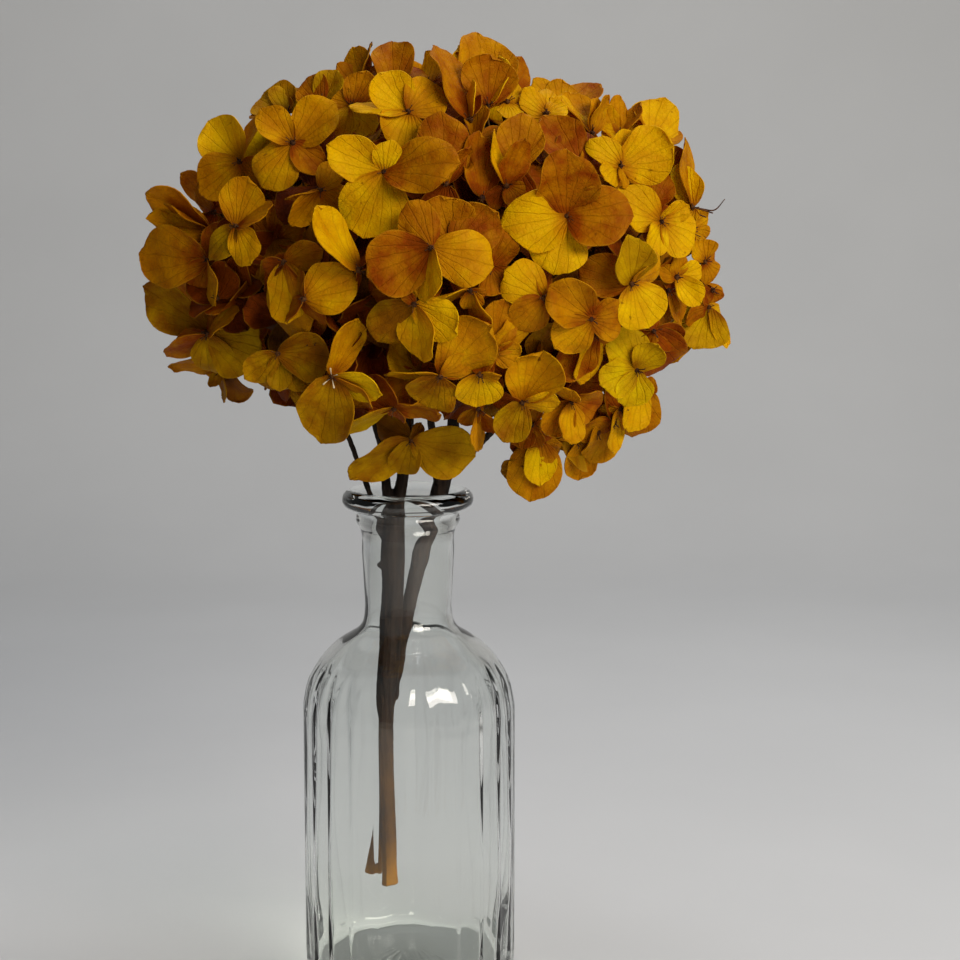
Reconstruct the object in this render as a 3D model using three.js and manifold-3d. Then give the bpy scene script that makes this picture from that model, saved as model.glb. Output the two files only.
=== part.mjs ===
// Preserved hydrangea in a clear fluted glass vase.
// Two woody stems stand in the vase, and each carries one bloom of four-sepalled florets.
// Millimetres, +Z up. The origin is the centre of the vase's flat foot, and -Y is the front.
import * as THREE from 'three';
import { mergeVertices } from 'three/addons/utils/BufferGeometryUtils.js';
import Module from 'manifold-3d';

const wasm = await Module();
wasm.setup();

// Gap kept between two pieces that touch.
const CLEARANCE = 0.3;

// Vase: sizes of the moulded glass bottle.
const FLUTES = 24;
const FLUTE_DEPTH = 0.9;
const FLUTE_START = 9;
const FLUTE_TOP = 111;
const ARCH_RISE = 9;
// Outside of the vase from the foot to the lip, as [radius, height].
const VASE_OUTSIDE = [
  [32.5, 0], [36, 1.4], [38, FLUTE_START], [38, 98], [37.3, 105], [36.4, 109], [35.5, FLUTE_TOP],
  [32.2, 117], [28, 122], [22.4, 126.2], [17.6, 129.2], [15.6, 135], [16.8, 165], [18.4, 166.6],
  [18.4, 169.4], [17.4, 171.4], [19.6, 172.2], [22.8, 174], [22.8, 177], [20.6, 178.8], [18.2, 179],
];
// Inside of the vase from the lip down to the raised middle of its thick base.
const VASE_INSIDE = [
  [16.2, 177.6], [13.8, 171], [13.1, 137], [14.6, 129], [21, 123.6], [28, 118.4], [33.2, 108],
  [35, 94], [35, 13], [32, 8],
];
const BASE_MIDDLE = 10;

// Stems: [x, y, z, radius] along each branch, from the cut end or the fork outwards.
const STEM_SIDES = 8;
const STEM_STEPS = 2;
const LEFT_STEM = [
  [[-7.6, -8.2, 32, 3.2], [-8.2, -8.2, 58, 3.4], [-8.2, -8.2, 86, 3.7], [-7.4, -7.9, 108, 4.1],
    [-6.4, -7, 126, 4], [-5.7, -6.5, 137, 3.8], [-5.2, -6.9, 147, 3.6], [-5.2, -6.8, 156, 4.1],
    [-4.6, -6, 167, 3.6], [-3, -5, 177, 2.5], [-0.8, -5.4, 190, 2.1], [0.4, -8, 208, 1.8], [-2, -11, 226, 1.6]],
  [[-5, -6.4, 165, 2], [-7.2, -5.6, 178, 1.8], [-9.2, -6, 196, 1.6], [-22, -4, 222, 1.5], [-36, 0, 240, 1.4]],
  [[-6.2, -6.2, 160, 1.8], [-11.4, -6.2, 173.5, 1.1], [-15.4, -6.2, 184, 1.1], [-20.4, -8, 198, 1],
    [-34, -14, 222, 1]],
];
const RIGHT_STEM = [
  [[-13.4, 0.6, 34, 2.6], [-11.4, 0, 62, 2.7], [-8.4, -0.4, 88, 2.8], [-4.8, -0.8, 112, 2.9],
    [-1.6, -0.8, 130, 3], [2.4, 0.6, 147, 3.1], [6.2, 3, 161, 3.2], [10.1, 3.7, 173, 3.3],
    [13, 3.4, 184, 3.1], [15.8, 2, 196, 2.6], [17, 1, 208, 2.1], [26, 0, 226, 1.8]],
  [[11.2, 3.4, 178, 2], [9.4, -1, 192, 1.5], [7.8, -5, 206, 1.4], [5, -10, 222, 1.3]],
  [[13.2, 3.2, 182, 2], [18.4, 0, 187.5, 1.5], [24, -4, 194, 1.4], [32, -7, 203, 1.3], [52, -8, 226, 1.2]],
];

// Flower head: an uneven ball round this centre, with half its width, depth and height.
const HEAD = { x: 8, y: 0, z: 252, left: 82, right: 90, depth: 78, up: 70, down: 57 };
// Core that each bloom's florets stand out of: centre, half sizes.
const LEFT_CORE = { centre: [-28, 2, 252], size: [36, 44, 36] };
const RIGHT_CORE = { centre: [58, 2, 249], size: [30, 40, 36] };
const CORE_ROUND = 12;
const CORE_RINGS = 6;
// Line between the two blooms, as [x, z] from below to above.
const PARTING = [
  [30, 120], [30, 196], [24, 206], [30, 214], [37, 224], [34, 246], [33, 262], [21, 272], [17, 288], [24, 300],
  [28, 316], [28, 380],
];

// Florets: sizes of one flower, as shares of its sepal length where not in millimetres.
const SEPALS = 4;
const SEPAL_WIDTH = 0.49;
const SEPAL_THICK = 0.8;
const WIDEST = 0.58;
const NOTCH = 0.52;
const RIB_AT = 0.5;
// Outline of one sepal between the notches beside it, as [share along it, share across it].
const SEPAL_OUTLINE = [[0.58, -1], [0.93, -1], [0.93, 1], [0.58, 1]];
const PEDICEL_R = 0.9;
// How deep a pedicel's foot lies in the core.
const PEDICEL_SUNK = 8;
// How far florets keep to their own share of the room between them: 1 is up to halfway.
const CROWDING = 1;

// Florets that show at the front, one row each: [x, z, sepal length, turn, pan, tilt, lift].
// x and z place it on the head, pan and tilt in degrees say where it looks, and lift moves it outwards.
const FRONT_FLORETS = [
  [-56, 293, 16, 40, -35, 15, 0],
  [-37, 298, 16, 45, -15, 15, 0],
  [-57, 272, 15, 55, -25, -5, 0],
  [-76, 272, 18, 50, -35, 15, 0],
  [-75, 257, 18, 10, -35, -10, 0],
  [-76, 241, 18, 20, -40, -15, 0],
  [-66, 236, 17, 10, -20, -10, 2],
  [-63, 221, 15, 30, -30, -60, 0],
  [-42, 232, 15, 75, -5, -35, 0],
  [-33, 250, 17, 25, -10, 0, 2],
  [-28, 279, 13, 45, 0, -20, -8],
  [-14, 266, 16, 70, 20, 20, -6],
  [-7, 289, 18, 58, -5, 5, 3],
  [0, 307, 16, 40, 0, 30, 0],
  [-4, 321, 13, 0, 0, 50, 0],
  [-18, 319, 13, 10, -25, 45, 0],
  [-30, 313, 13, 20, -30, 40, 0],
  [7, 321, 11, 0, 10, 60, 0],
  [24, 315, 18, 30, 5, 45, 0],
  [19, 322, 14, 45, 0, 40, 0],
  [36, 318, 15, 0, 25, 40, 0],
  [14, 288, 16, 30, 0, 5, -4],
  [26, 285, 15, 15, 10, 10, -4],
  [36, 290, 15, 40, 5, 10, -6],
  [36, 304, 14, 10, 5, 30, -3],
  [49, 275, 19, 5, 10, 5, 4],
  [44, 310, 11, 20, 10, 40, 0],
  [56, 309, 11, 60, 15, 35, 0],
  [69, 306, 11, 30, 25, 35, 0],
  [59, 292, 12, 45, 15, 15, -4],
  [69, 291, 16, 20, 30, 15, 0],
  [86, 298, 14, 45, 35, 45, 0],
  [79, 280, 13, 20, 40, 0, -5],
  [95, 282, 11, 60, 60, 20, 0],
  [84, 273, 14, 67, 35, 5, 0],
  [72, 253, 16, 80, 25, -5, 2],
  [58, 242, 17, 45, 15, -10, 0],
  [90, 255, 12, 30, 50, -5, 0],
  [103, 263, 12, 10, 45, 10, 0],
  [105, 248, 11, 50, 50, 0, 0],
  [100, 236, 15, -20, 35, -20, 0],
  [28, 260, 17, 40, 5, -5, -5],
  [7, 266, 18, -10, -5, 0, 3],
  [2, 253, 14, 20, 0, -10, -5],
  [19, 252, 13, 20, 5, -35, 0],
  [3, 248, 15, 45, -5, -15, 0],
  [9, 226, 19, 34, 5, -25, 0],
  [27, 229, 15, 80, 15, -10, -3],
  [17, 225, 14, 45, 5, -50, 0],
  [35, 217, 16, 40, 5, -30, 0],
  [62, 232, 14, 60, 15, -20, -8],
  [75, 226, 14, 15, 30, -20, 0],
  [88, 229, 13, 50, 50, -40, 0],
  [53, 215, 15, 55, 10, -30, 0],
  [80, 213, 15, 20, 40, -40, 0],
  [62, 199, 16, 70, 20, -45, 0],
  [47, 196, 18, 48, 5, -35, 0],
  [30, 215, 14, 20, 0, -45, -3],
  [1, 202, 20, 55, 0, -25, 0],
  [23, 211, 14, 15, 10, -50, 0],
  [-6, 215, 18, 70, 0, -50, 0],
  [-24, 225, 19, 75, -5, -15, 0],
  [-27, 235, 13, 20, -10, -10, -6],
  [-8, 233, 14, 30, 0, -20, -15],
];

// Florets round the sides, the back and the underside are laid out by a spiral rule. They lie at least
// SPIRAL_SPREAD from the others, no further to the front than SPIRAL_FRONT and no lower than SPIRAL_LOWEST.
const SPIRAL_COUNT = 90;
const SPIRAL_TURN = 137.508;
const SPIRAL_SEED = 7;
const SPIRAL_LENGTH = 20;
const SPIRAL_SPREAD = 18.4;
const SPIRAL_FRONT = -0.12;
const SPIRAL_LOWEST = -0.86;

const DEGREE = Math.PI / 180;
// Points closer together than this are one point.
const WELD = 1e-3;

/** A repeatable draw from 0 to 1 for the pair of whole numbers a and b. */
function draw(a, b) {
  const v = Math.sin(a * 12.9898 + b * 78.233 + 4.1) * 43758.5453;
  return v - Math.floor(v);
}

/** A draw from -1 to 1. */
function swing(a, b) {
  return 2 * draw(a, b) - 1;
}

/** A geometry from points and the triangles between them. */
function surface(points, faces) {
  const geometry = new THREE.BufferGeometry();
  geometry.setAttribute('position', new THREE.Float32BufferAttribute(points.flat(), 3));
  geometry.setIndex(faces.flat());
  return geometry;
}

/** A closed geometry as a solid for cutting and joining. */
function toSolid(geometry) {
  const bare = geometry.clone();
  bare.deleteAttribute('normal');
  bare.deleteAttribute('uv');
  const merged = mergeVertices(bare, WELD);
  return new wasm.Manifold(new wasm.Mesh({
    numProp: 3,
    vertProperties: merged.attributes.position.array,
    triVerts: merged.index.array,
  }));
}

/** A solid back as a geometry. */
function toGeometry(solid) {
  const mesh = solid.getMesh();
  const geometry = new THREE.BufferGeometry();
  geometry.setAttribute('position', new THREE.BufferAttribute(mesh.vertProperties, mesh.numProp));
  geometry.setIndex(new THREE.BufferAttribute(mesh.triVerts, 1));
  geometry.computeVertexNormals();
  return geometry;
}

/** Triangles between rings of equal count, closed by a point at either end: points 0 and the last. */
function stackRings(rings, first, last) {
  const round = rings[0].length;
  const points = [first, ...rings.flat(), last];
  const end = points.length - 1;
  const faces = [];
  for (let i = 0; i < round; i += 1) {
    const j = (i + 1) % round;
    faces.push([0, 1 + j, 1 + i]);
    for (let k = 0; k < rings.length - 1; k += 1) {
      const a = 1 + k * round;
      const b = a + round;
      faces.push([a + i, a + j, b + j], [a + i, b + j, b + i]);
    }
    const top = 1 + (rings.length - 1) * round;
    faces.push([end, top + i, top + j]);
  }
  return surface(points, faces);
}

/** How deep the valley of a flute is at a height: it runs out in an arch at its top. */
function fluteDepth(z) {
  if (z < FLUTE_START || z >= FLUTE_TOP) return 0;
  return FLUTE_DEPTH * Math.min(1, Math.sqrt((FLUTE_TOP - z) / ARCH_RISE));
}

/** The glass bottle: ridges and valleys take turns round it, and the flutes are on the outside only. */
function makeVase() {
  const ring = ([radius, z], depth) => Array.from({ length: 2 * FLUTES }, (_, i) => {
    const angle = (i * Math.PI) / FLUTES;
    const r = radius - (i % 2 ? depth : 0);
    return [r * Math.cos(angle), r * Math.sin(angle), z];
  });
  const rings = [
    ...VASE_OUTSIDE.map((point) => ring(point, fluteDepth(point[1]))),
    ...VASE_INSIDE.map((point) => ring(point, 0)),
  ];
  return stackRings(rings, [0, 0, 0], [0, 0, BASE_MIDDLE]);
}

/** One branch with a round section that swells and thins along a smooth curve. */
function branch(stations, extra = 0) {
  const curve = new THREE.CatmullRomCurve3(stations.map(([x, y, z]) => new THREE.Vector3(x, y, z)));
  const steps = STEM_STEPS * (stations.length - 1);
  const frames = curve.computeFrenetFrames(steps, false);
  const rings = [];
  for (let i = 0; i <= steps; i += 1) {
    const at = (i / steps) * (stations.length - 1);
    const low = Math.min(Math.floor(at), stations.length - 2);
    const radius = THREE.MathUtils.lerp(stations[low][3], stations[low + 1][3], at - low) + extra;
    const outwards = (i === steps) - (i === 0);
    const centre = curve.getPoint(i / steps).addScaledVector(frames.tangents[i], outwards * extra);
    rings.push(Array.from({ length: STEM_SIDES }, (_, k) => {
      const angle = (2 * Math.PI * k) / STEM_SIDES;
      return centre.clone()
        .addScaledVector(frames.normals[i], radius * Math.cos(angle))
        .addScaledVector(frames.binormals[i], radius * Math.sin(angle))
        .toArray();
    }));
  }
  const start = curve.getPoint(0).addScaledVector(frames.tangents[0], -extra).toArray();
  const finish = curve.getPoint(1).addScaledVector(frames.tangents[steps], extra).toArray();
  return stackRings(rings, start, finish);
}

/** A forked stem: its branches joined in one solid, grown all over by extra. */
function makeStem(branches, extra = 0) {
  return wasm.Manifold.union(branches.map((stations) => toSolid(branch(stations, extra))));
}

/** Depth of the head's front at x and z. */
function frontDepth(x, z) {
  const across = (x - HEAD.x) / (x > HEAD.x ? HEAD.right : HEAD.left);
  const up = (z - HEAD.z) / (z > HEAD.z ? HEAD.up : HEAD.down);
  return HEAD.y - HEAD.depth * Math.sqrt(Math.max(0.008, 1 - across * across - up * up));
}

/** The way that pan and tilt point: pan 0 looks to the front. */
function facing(pan, tilt) {
  const p = pan * DEGREE;
  const t = tilt * DEGREE;
  return new THREE.Vector3(Math.sin(p) * Math.cos(t), -Math.cos(p) * Math.cos(t), Math.sin(t));
}

/** Every floret: its centre, the way it faces, its sepal length, its turn and its number. */
function layOutFlorets() {
  const florets = FRONT_FLORETS.map(([x, z, length, turn, pan, tilt, lift], number) => {
    const face = facing(pan, tilt);
    const centre = new THREE.Vector3(x, frontDepth(x, z), z).addScaledVector(face, lift);
    return { centre, face, length, turn, number };
  });
  for (let k = 0; k < SPIRAL_COUNT; k += 1) {
    const up = 1 - (2 * (k + 0.5)) / SPIRAL_COUNT;
    const round = k * SPIRAL_TURN * DEGREE;
    const flat = Math.sqrt(1 - up * up);
    const way = new THREE.Vector3(flat * Math.cos(round), flat * Math.sin(round), up);
    if (way.y < SPIRAL_FRONT || up < SPIRAL_LOWEST) continue;
    const centre = new THREE.Vector3(
      HEAD.x + way.x * (way.x > 0 ? HEAD.right : HEAD.left),
      HEAD.y + way.y * HEAD.depth,
      HEAD.z + way.z * (way.z > 0 ? HEAD.up : HEAD.down),
    );
    if (florets.some((other) => other.centre.distanceTo(centre) < SPIRAL_SPREAD)) continue;
    const seed = SPIRAL_SEED + k;
    const face = way.clone()
      .add(new THREE.Vector3(swing(seed, 1), swing(seed, 2), swing(seed, 3)).multiplyScalar(0.3))
      .normalize();
    const length = SPIRAL_LENGTH * (1 + 0.08 * swing(seed, 4));
    florets.push({ centre, face, length, turn: 90 * draw(seed, 5), number: 100 + k });
  }
  return florets;
}

/** Sideways and upright directions in the plane of a floret that faces one way. */
function planeOf(face) {
  const side = new THREE.Vector3(-face.y, face.x, 0);
  if (side.lengthSq() < 1e-4) side.set(1, 0, 0);
  side.normalize();
  return { side, upright: new THREE.Vector3().crossVectors(face, side) };
}

/** How sepal j of a floret stands: its angle, length, half width, rise and curl. */
function sepalOf(floret, j) {
  const seed = floret.number;
  return {
    angle: (floret.turn + (360 / SEPALS) * j + 7 * swing(seed, 10 + j)) * DEGREE,
    length: floret.length * (1 + 0.09 * swing(seed, 20 + j)),
    half: floret.length * SEPAL_WIDTH * (1 + 0.08 * swing(seed, 30 + j)),
    rise: 0.24 * swing(seed, 40 + j) + 0.06,
    curl: 0.2 * swing(seed, 50 + j) - 0.02,
    cup: 0.14 * swing(seed, 60 + j) + 0.05,
  };
}

/** A point of a sepal, s along it and t across it from -1 to 1, as [out, across, height]. */
function sepalPoint(sepal, s, t) {
  const w = s > WIDEST ? Math.sqrt(Math.max(0, 1 - ((s - WIDEST) / (1 - WIDEST)) ** 2)) : s / WIDEST;
  return [
    sepal.length * s,
    sepal.half * w * t,
    sepal.length * (sepal.rise * s + sepal.curl * s * s) + sepal.half * sepal.cup * w * w * t * t,
  ];
}

/** A point of a floret drawn back towards its centre until no neighbour's centre is relatively nearer. */
function drawBack(point, floret, neighbours) {
  const way = point.clone().sub(floret.centre);
  const drawn = new THREE.Vector3();
  for (let share = 1; share > 0.3; share -= 0.04) {
    drawn.copy(floret.centre).addScaledVector(way, share);
    const own = drawn.distanceTo(floret.centre) / floret.length;
    if (neighbours.every((other) => drawn.distanceTo(other.centre) / other.length >= own * CROWDING)) break;
  }
  return drawn;
}

/**
 * A floret as one closed surface: an arched four-lobed blade, and a four-sided pedicel that grows
 * out of the middle of its back and ends at the root point inside the core.
 */
function makeFloret(floret, root, all) {
  const { centre, face } = floret;
  const neighbours = all.filter((other) => other !== floret
    && other.centre.distanceTo(centre) < floret.length + other.length);
  const { side, upright } = planeOf(face);
  const place = (angle, [out, across, height]) => centre.clone()
    .addScaledVector(side, out * Math.cos(angle) - across * Math.sin(angle))
    .addScaledVector(upright, out * Math.sin(angle) + across * Math.cos(angle))
    .addScaledVector(face, height);
  const sepals = Array.from({ length: SEPALS }, (_, j) => sepalOf(floret, j));
  const ribs = sepals.map((sepal) => place(sepal.angle, sepalPoint(sepal, RIB_AT, 0)));
  const edge = sepals.flatMap((sepal, j) => {
    const next = sepals[(j + 1) % SEPALS];
    const turnOn = (next.angle - sepal.angle + 2 * Math.PI) % (2 * Math.PI);
    const notch = NOTCH * 0.5 * (sepal.length + next.length);
    const notchHeight = notch * 0.5 * (sepal.rise + next.rise);
    return [
      ...SEPAL_OUTLINE.map(([s, t]) => place(sepal.angle, sepalPoint(sepal, s, t))),
      place(sepal.angle + 0.5 * turnOn, [notch, 0, notchHeight]),
    ];
  });
  const blade = [...ribs, ...edge].map((point) => drawBack(point, floret, neighbours));
  const under = blade.map((point) => point.clone().addScaledVector(face, -SEPAL_THICK));
  const back = centre.clone().addScaledVector(face, -SEPAL_THICK);
  const collar = sepals.map(({ angle }) => place(angle, [PEDICEL_R, 0, -SEPAL_THICK]));
  const foot = collar.map((point) => point.clone().add(root).sub(back));

  // Point numbers: the middle, the blade's top, its underside, the pedicel's collar and its foot.
  const count = blade.length;
  const lobe = SEPAL_OUTLINE.length + 1;
  const top = (i) => 1 + i;
  const bottom = (i) => 1 + count + i;
  const collarAt = (j) => 1 + 2 * count + (j % SEPALS);
  const footAt = (j) => collarAt(j) + SEPALS;
  const edgeAt = (i) => SEPALS + ((i + edge.length) % edge.length);
  const faces = [];
  for (let j = 0; j < SEPALS; j += 1) {
    const next = (j + 1) % SEPALS;
    const notch = edgeAt(lobe * j + lobe - 1);
    for (let i = lobe * j - 1; i < lobe * j + lobe - 1; i += 1) {
      faces.push([top(j), top(edgeAt(i)), top(edgeAt(i + 1))]);
      faces.push([bottom(j), bottom(edgeAt(i + 1)), bottom(edgeAt(i))]);
    }
    faces.push([0, top(j), top(notch)], [0, top(notch), top(next)]);
    faces.push([collarAt(j), bottom(notch), bottom(j)], [collarAt(next), bottom(next), bottom(notch)]);
    faces.push([collarAt(j), collarAt(next), bottom(notch)]);
    faces.push([collarAt(j), footAt(j), footAt(next)], [collarAt(j), footAt(next), collarAt(next)]);
  }
  faces.push([footAt(0), footAt(2), footAt(1)], [footAt(0), footAt(3), footAt(2)]);
  edge.forEach((_, i) => {
    const a = edgeAt(i);
    const b = edgeAt(i + 1);
    faces.push([top(a), bottom(a), bottom(b)], [top(a), bottom(b), top(b)]);
  });
  return toSolid(surface([centre, ...blade, ...under, ...collar, ...foot].map((p) => p.toArray()), faces));
}

/** The uneven core of a bloom. */
function makeCore({ centre, size }) {
  const rings = [];
  for (let k = 1; k < CORE_RINGS; k += 1) {
    const polar = (Math.PI * k) / CORE_RINGS;
    rings.push(Array.from({ length: CORE_ROUND }, (_, i) => {
      const round = (2 * Math.PI * (i + 0.5 * (k % 2))) / CORE_ROUND;
      const bump = 1 + 0.07 * swing(i + 1, k);
      return [
        centre[0] + size[0] * bump * Math.sin(polar) * Math.cos(round),
        centre[1] + size[1] * bump * Math.sin(polar) * Math.sin(round),
        centre[2] - size[2] * bump * Math.cos(polar),
      ];
    }));
  }
  return toSolid(stackRings(
    rings,
    [centre[0], centre[1], centre[2] - size[2]],
    [centre[0], centre[1], centre[2] + size[2]],
  ));
}

/** The point inside a core where the pedicel of a floret is rooted. */
function rootIn({ centre, size }, point) {
  const middle = new THREE.Vector3(...centre);
  const way = point.clone().sub(middle);
  const reach = 1 / Math.hypot(way.x / size[0], way.y / size[1], way.z / size[2]);
  return middle.addScaledVector(way, Math.max(0, reach - PEDICEL_SUNK / way.length()));
}

/** x of the parting between the two blooms at a height. */
function partingAt(z) {
  const next = PARTING.findIndex(([, height]) => height > z);
  const [x0, z0] = PARTING[next - 1];
  const [x1, z1] = PARTING[next];
  return THREE.MathUtils.mapLinear(z, z0, z1, x0, x1);
}

/** The space on one side of the parting, kept clear of it by half the gap. */
function sideOfParting(sign) {
  const far = 200 * sign;
  const near = PARTING.map(([x, z]) => new THREE.Vector2(x + 0.5 * sign * CLEARANCE, z));
  const outline = new THREE.Shape([
    ...near,
    new THREE.Vector2(far, PARTING.at(-1)[1]),
    new THREE.Vector2(far, PARTING[0][1]),
  ]);
  const geometry = new THREE.ExtrudeGeometry(outline, { depth: 400, bevelEnabled: false });
  geometry.rotateX(Math.PI / 2);
  geometry.translate(0, 200, 0);
  return toSolid(geometry);
}

/** The main piece of a solid, without the loose scraps that a cut leaves. */
function largestPiece(solid) {
  return solid.decompose().reduce((best, piece) => (piece.volume() > best.volume() ? piece : best));
}

/** One bloom: core and florets joined, cut clear of the stems and of the other bloom. */
function makeBloom(florets, core, sign, stems, all) {
  const parts = florets.map((floret) => makeFloret(floret, rootIn(core, floret.centre), all));
  const joined = wasm.Manifold.union([makeCore(core), ...parts]);
  const clear = stems.reduce((solid, stem) => solid.subtract(stem), joined);
  return largestPiece(toSolid(toGeometry(largestPiece(clear.intersect(sideOfParting(sign))))));
}

/** A named mesh with its material. */
function mesh(name, geometry, color, roughness, extra = {}) {
  const material = new THREE.MeshStandardMaterial({ color, roughness, metalness: 0, ...extra });
  const part = new THREE.Mesh(geometry, material);
  part.name = name;
  return part;
}

const florets = layOutFlorets();
const isLeft = ({ centre }) => centre.x < partingAt(centre.z);
const holes = [LEFT_STEM, RIGHT_STEM].map((branches) => makeStem(branches, CLEARANCE));
const leftBloom = makeBloom(florets.filter(isLeft), LEFT_CORE, -1, holes, florets);
const rightBloom = makeBloom(florets.filter((floret) => !isLeft(floret)), RIGHT_CORE, 1, holes, florets);

const group = new THREE.Group();
group.add(
  mesh('vase', makeVase(), 0xe8ecea, 0.05, { transparent: true, opacity: 0.3 }),
  mesh('stem_left', toGeometry(makeStem(LEFT_STEM)), 0x2e2117, 0.85),
  mesh('stem_right', toGeometry(makeStem(RIGHT_STEM)), 0x483a2c, 0.85),
  mesh('bloom_left', toGeometry(leftBloom), 0xa87402, 0.7),
  mesh('bloom_right', toGeometry(rightBloom), 0xb58301, 0.7),
);

export default group;
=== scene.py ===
"""Preserved hydrangea in a clear fluted bottle vase.

Two woody stems stand in a moulded glass bottle. Each carries one bloom of dyed, preserved florets
with four papery sepals. Lengths in the classes are real millimetres; meshes are in metres.
"""

import logging
import math
from dataclasses import dataclass, field
from enum import Enum
from typing import Any, Iterable, Sequence

import bpy
import numpy as np
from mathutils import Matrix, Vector, noise
from mathutils.bvhtree import BVHTree

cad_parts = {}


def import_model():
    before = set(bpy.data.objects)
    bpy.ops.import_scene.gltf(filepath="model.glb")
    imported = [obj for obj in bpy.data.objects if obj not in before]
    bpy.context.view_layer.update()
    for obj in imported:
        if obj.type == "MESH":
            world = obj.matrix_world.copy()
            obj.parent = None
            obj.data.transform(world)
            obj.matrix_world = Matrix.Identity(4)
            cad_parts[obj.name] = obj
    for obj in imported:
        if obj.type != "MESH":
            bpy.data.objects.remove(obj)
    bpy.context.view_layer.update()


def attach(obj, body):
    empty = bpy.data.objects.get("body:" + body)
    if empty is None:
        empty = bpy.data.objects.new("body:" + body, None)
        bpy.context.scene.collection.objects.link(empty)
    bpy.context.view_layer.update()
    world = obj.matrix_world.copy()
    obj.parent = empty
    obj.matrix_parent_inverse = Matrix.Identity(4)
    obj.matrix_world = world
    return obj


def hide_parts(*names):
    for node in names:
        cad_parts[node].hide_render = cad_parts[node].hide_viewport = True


LOG = logging.getLogger("hydrangea")
MM = 0.001
BODY = "root"
DEGREE = math.pi / 180
GOLDEN_ANGLE = 137.508
NEAR_ZERO = 1e-9
# Keeps the sideways direction real where a face looks straight up.
TILT_OFF_UPRIGHT = 1e-6

Colour = tuple[float, float, float, float]
Row = tuple[float, ...]
Socket = bpy.types.NodeSocket


class Side(Enum):
    """Which of the two blooms and stems a piece belongs to."""

    LEFT = "left"
    RIGHT = "right"


def linear(code: str) -> Colour:
    """Turns an sRGB hex colour into the linear colour that a shader takes.

    Args:
        code: The colour as "#rrggbb".

    Returns:
        Red, green, blue and an alpha of 1.
    """
    parts = [int(code[i : i + 2], 16) / 255 for i in (1, 3, 5)]
    red, green, blue = [c / 12.92 if c <= 0.04045 else ((c + 0.055) / 1.055) ** 2.4 for c in parts]
    return (red, green, blue, 1.0)


def add_node(
    tree: bpy.types.NodeTree,
    kind: str,
    inputs: dict[int | str, Any] | None = None,
    output: int | str = 0,
    stops: Sequence[tuple[float, Colour]] = (),
    **settings: Any,
) -> Socket:
    """Adds a shader node with its settings and links.

    Args:
        tree: The material's node tree.
        kind: The node's Blender type, without its leading "ShaderNode".
        inputs: Input names or numbers, each with a value or with the socket that feeds it.
        output: Name or number of the output that is wanted.
        stops: Places and colours of a colour ramp: its two ends, and then those between them.
        **settings: Properties of the node.

    Returns:
        The output socket.
    """
    node = tree.nodes.new("ShaderNode" + kind)
    for name, value in settings.items():
        setattr(node, name, value)
    for name, value in (inputs or {}).items():
        if isinstance(value, Socket):
            tree.links.new(value, node.inputs[name])
        else:
            node.inputs[name].default_value = value
    for number, (place, colour) in enumerate(stops):
        band = node.color_ramp.elements
        element = band[number] if number < 2 else band.new(place)
        element.position = place
        element.color = colour
    return node.outputs[output]


def draw(a: float, b: float) -> float:
    """A repeatable draw from 0 to 1 for the pair of numbers a and b."""
    v = math.sin(a * 12.9898 + b * 78.233 + 4.1) * 43758.5453
    return v - math.floor(v)


def swing(a: float, b: float) -> float:
    """A repeatable draw from -1 to 1."""
    return 2 * draw(a, b) - 1


def unit(vector: np.ndarray) -> np.ndarray:
    """The vector at a length of 1."""
    return vector / max(float(np.linalg.norm(vector)), NEAR_ZERO)


def swings(seed: float, size: float) -> np.ndarray:
    """A repeatable vector whose three parts lie between -size and size."""
    return size * np.array([swing(seed, 1), swing(seed, 2), swing(seed, 3)])


def plane_of(face: np.ndarray) -> tuple[np.ndarray, np.ndarray]:
    """Sideways and upright directions in the plane that looks along face."""
    side = unit(np.array((-face[1], face[0], TILT_OFF_UPRIGHT)))
    return side, np.cross(face, side)


def golden_ways(count: int) -> Iterable[tuple[int, np.ndarray]]:
    """Directions spread evenly by the golden angle.

    Args:
        count: How many there are.

    Yields:
        The number of each direction, and the direction.
    """
    for k in range(count):
        up = 1 - 2 * (k + 0.5) / count
        flat = math.sqrt(1 - up * up)
        turn = k * GOLDEN_ANGLE * DEGREE
        yield k, np.array((flat * math.cos(turn), flat * math.sin(turn), up))


class Finish:
    """What every material of the scene shares: it is built once, and reused by its name."""

    name: str

    def get(self) -> bpy.types.Material:
        """The material, built at its first use.

        Returns:
            The material.
        """
        material = bpy.data.materials.get(self.name)
        if material is None:
            material = bpy.data.materials.new(self.name)
            material.use_nodes = True
            tree = material.node_tree
            tree.nodes.clear()
            surface = self.surface(tree)
            tree.links.new(surface, tree.nodes.new("ShaderNodeOutputMaterial").inputs["Surface"])
        return material

    def surface(self, tree: bpy.types.NodeTree) -> Socket:
        """Builds the nodes and returns the surface socket."""
        raise NotImplementedError


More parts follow.
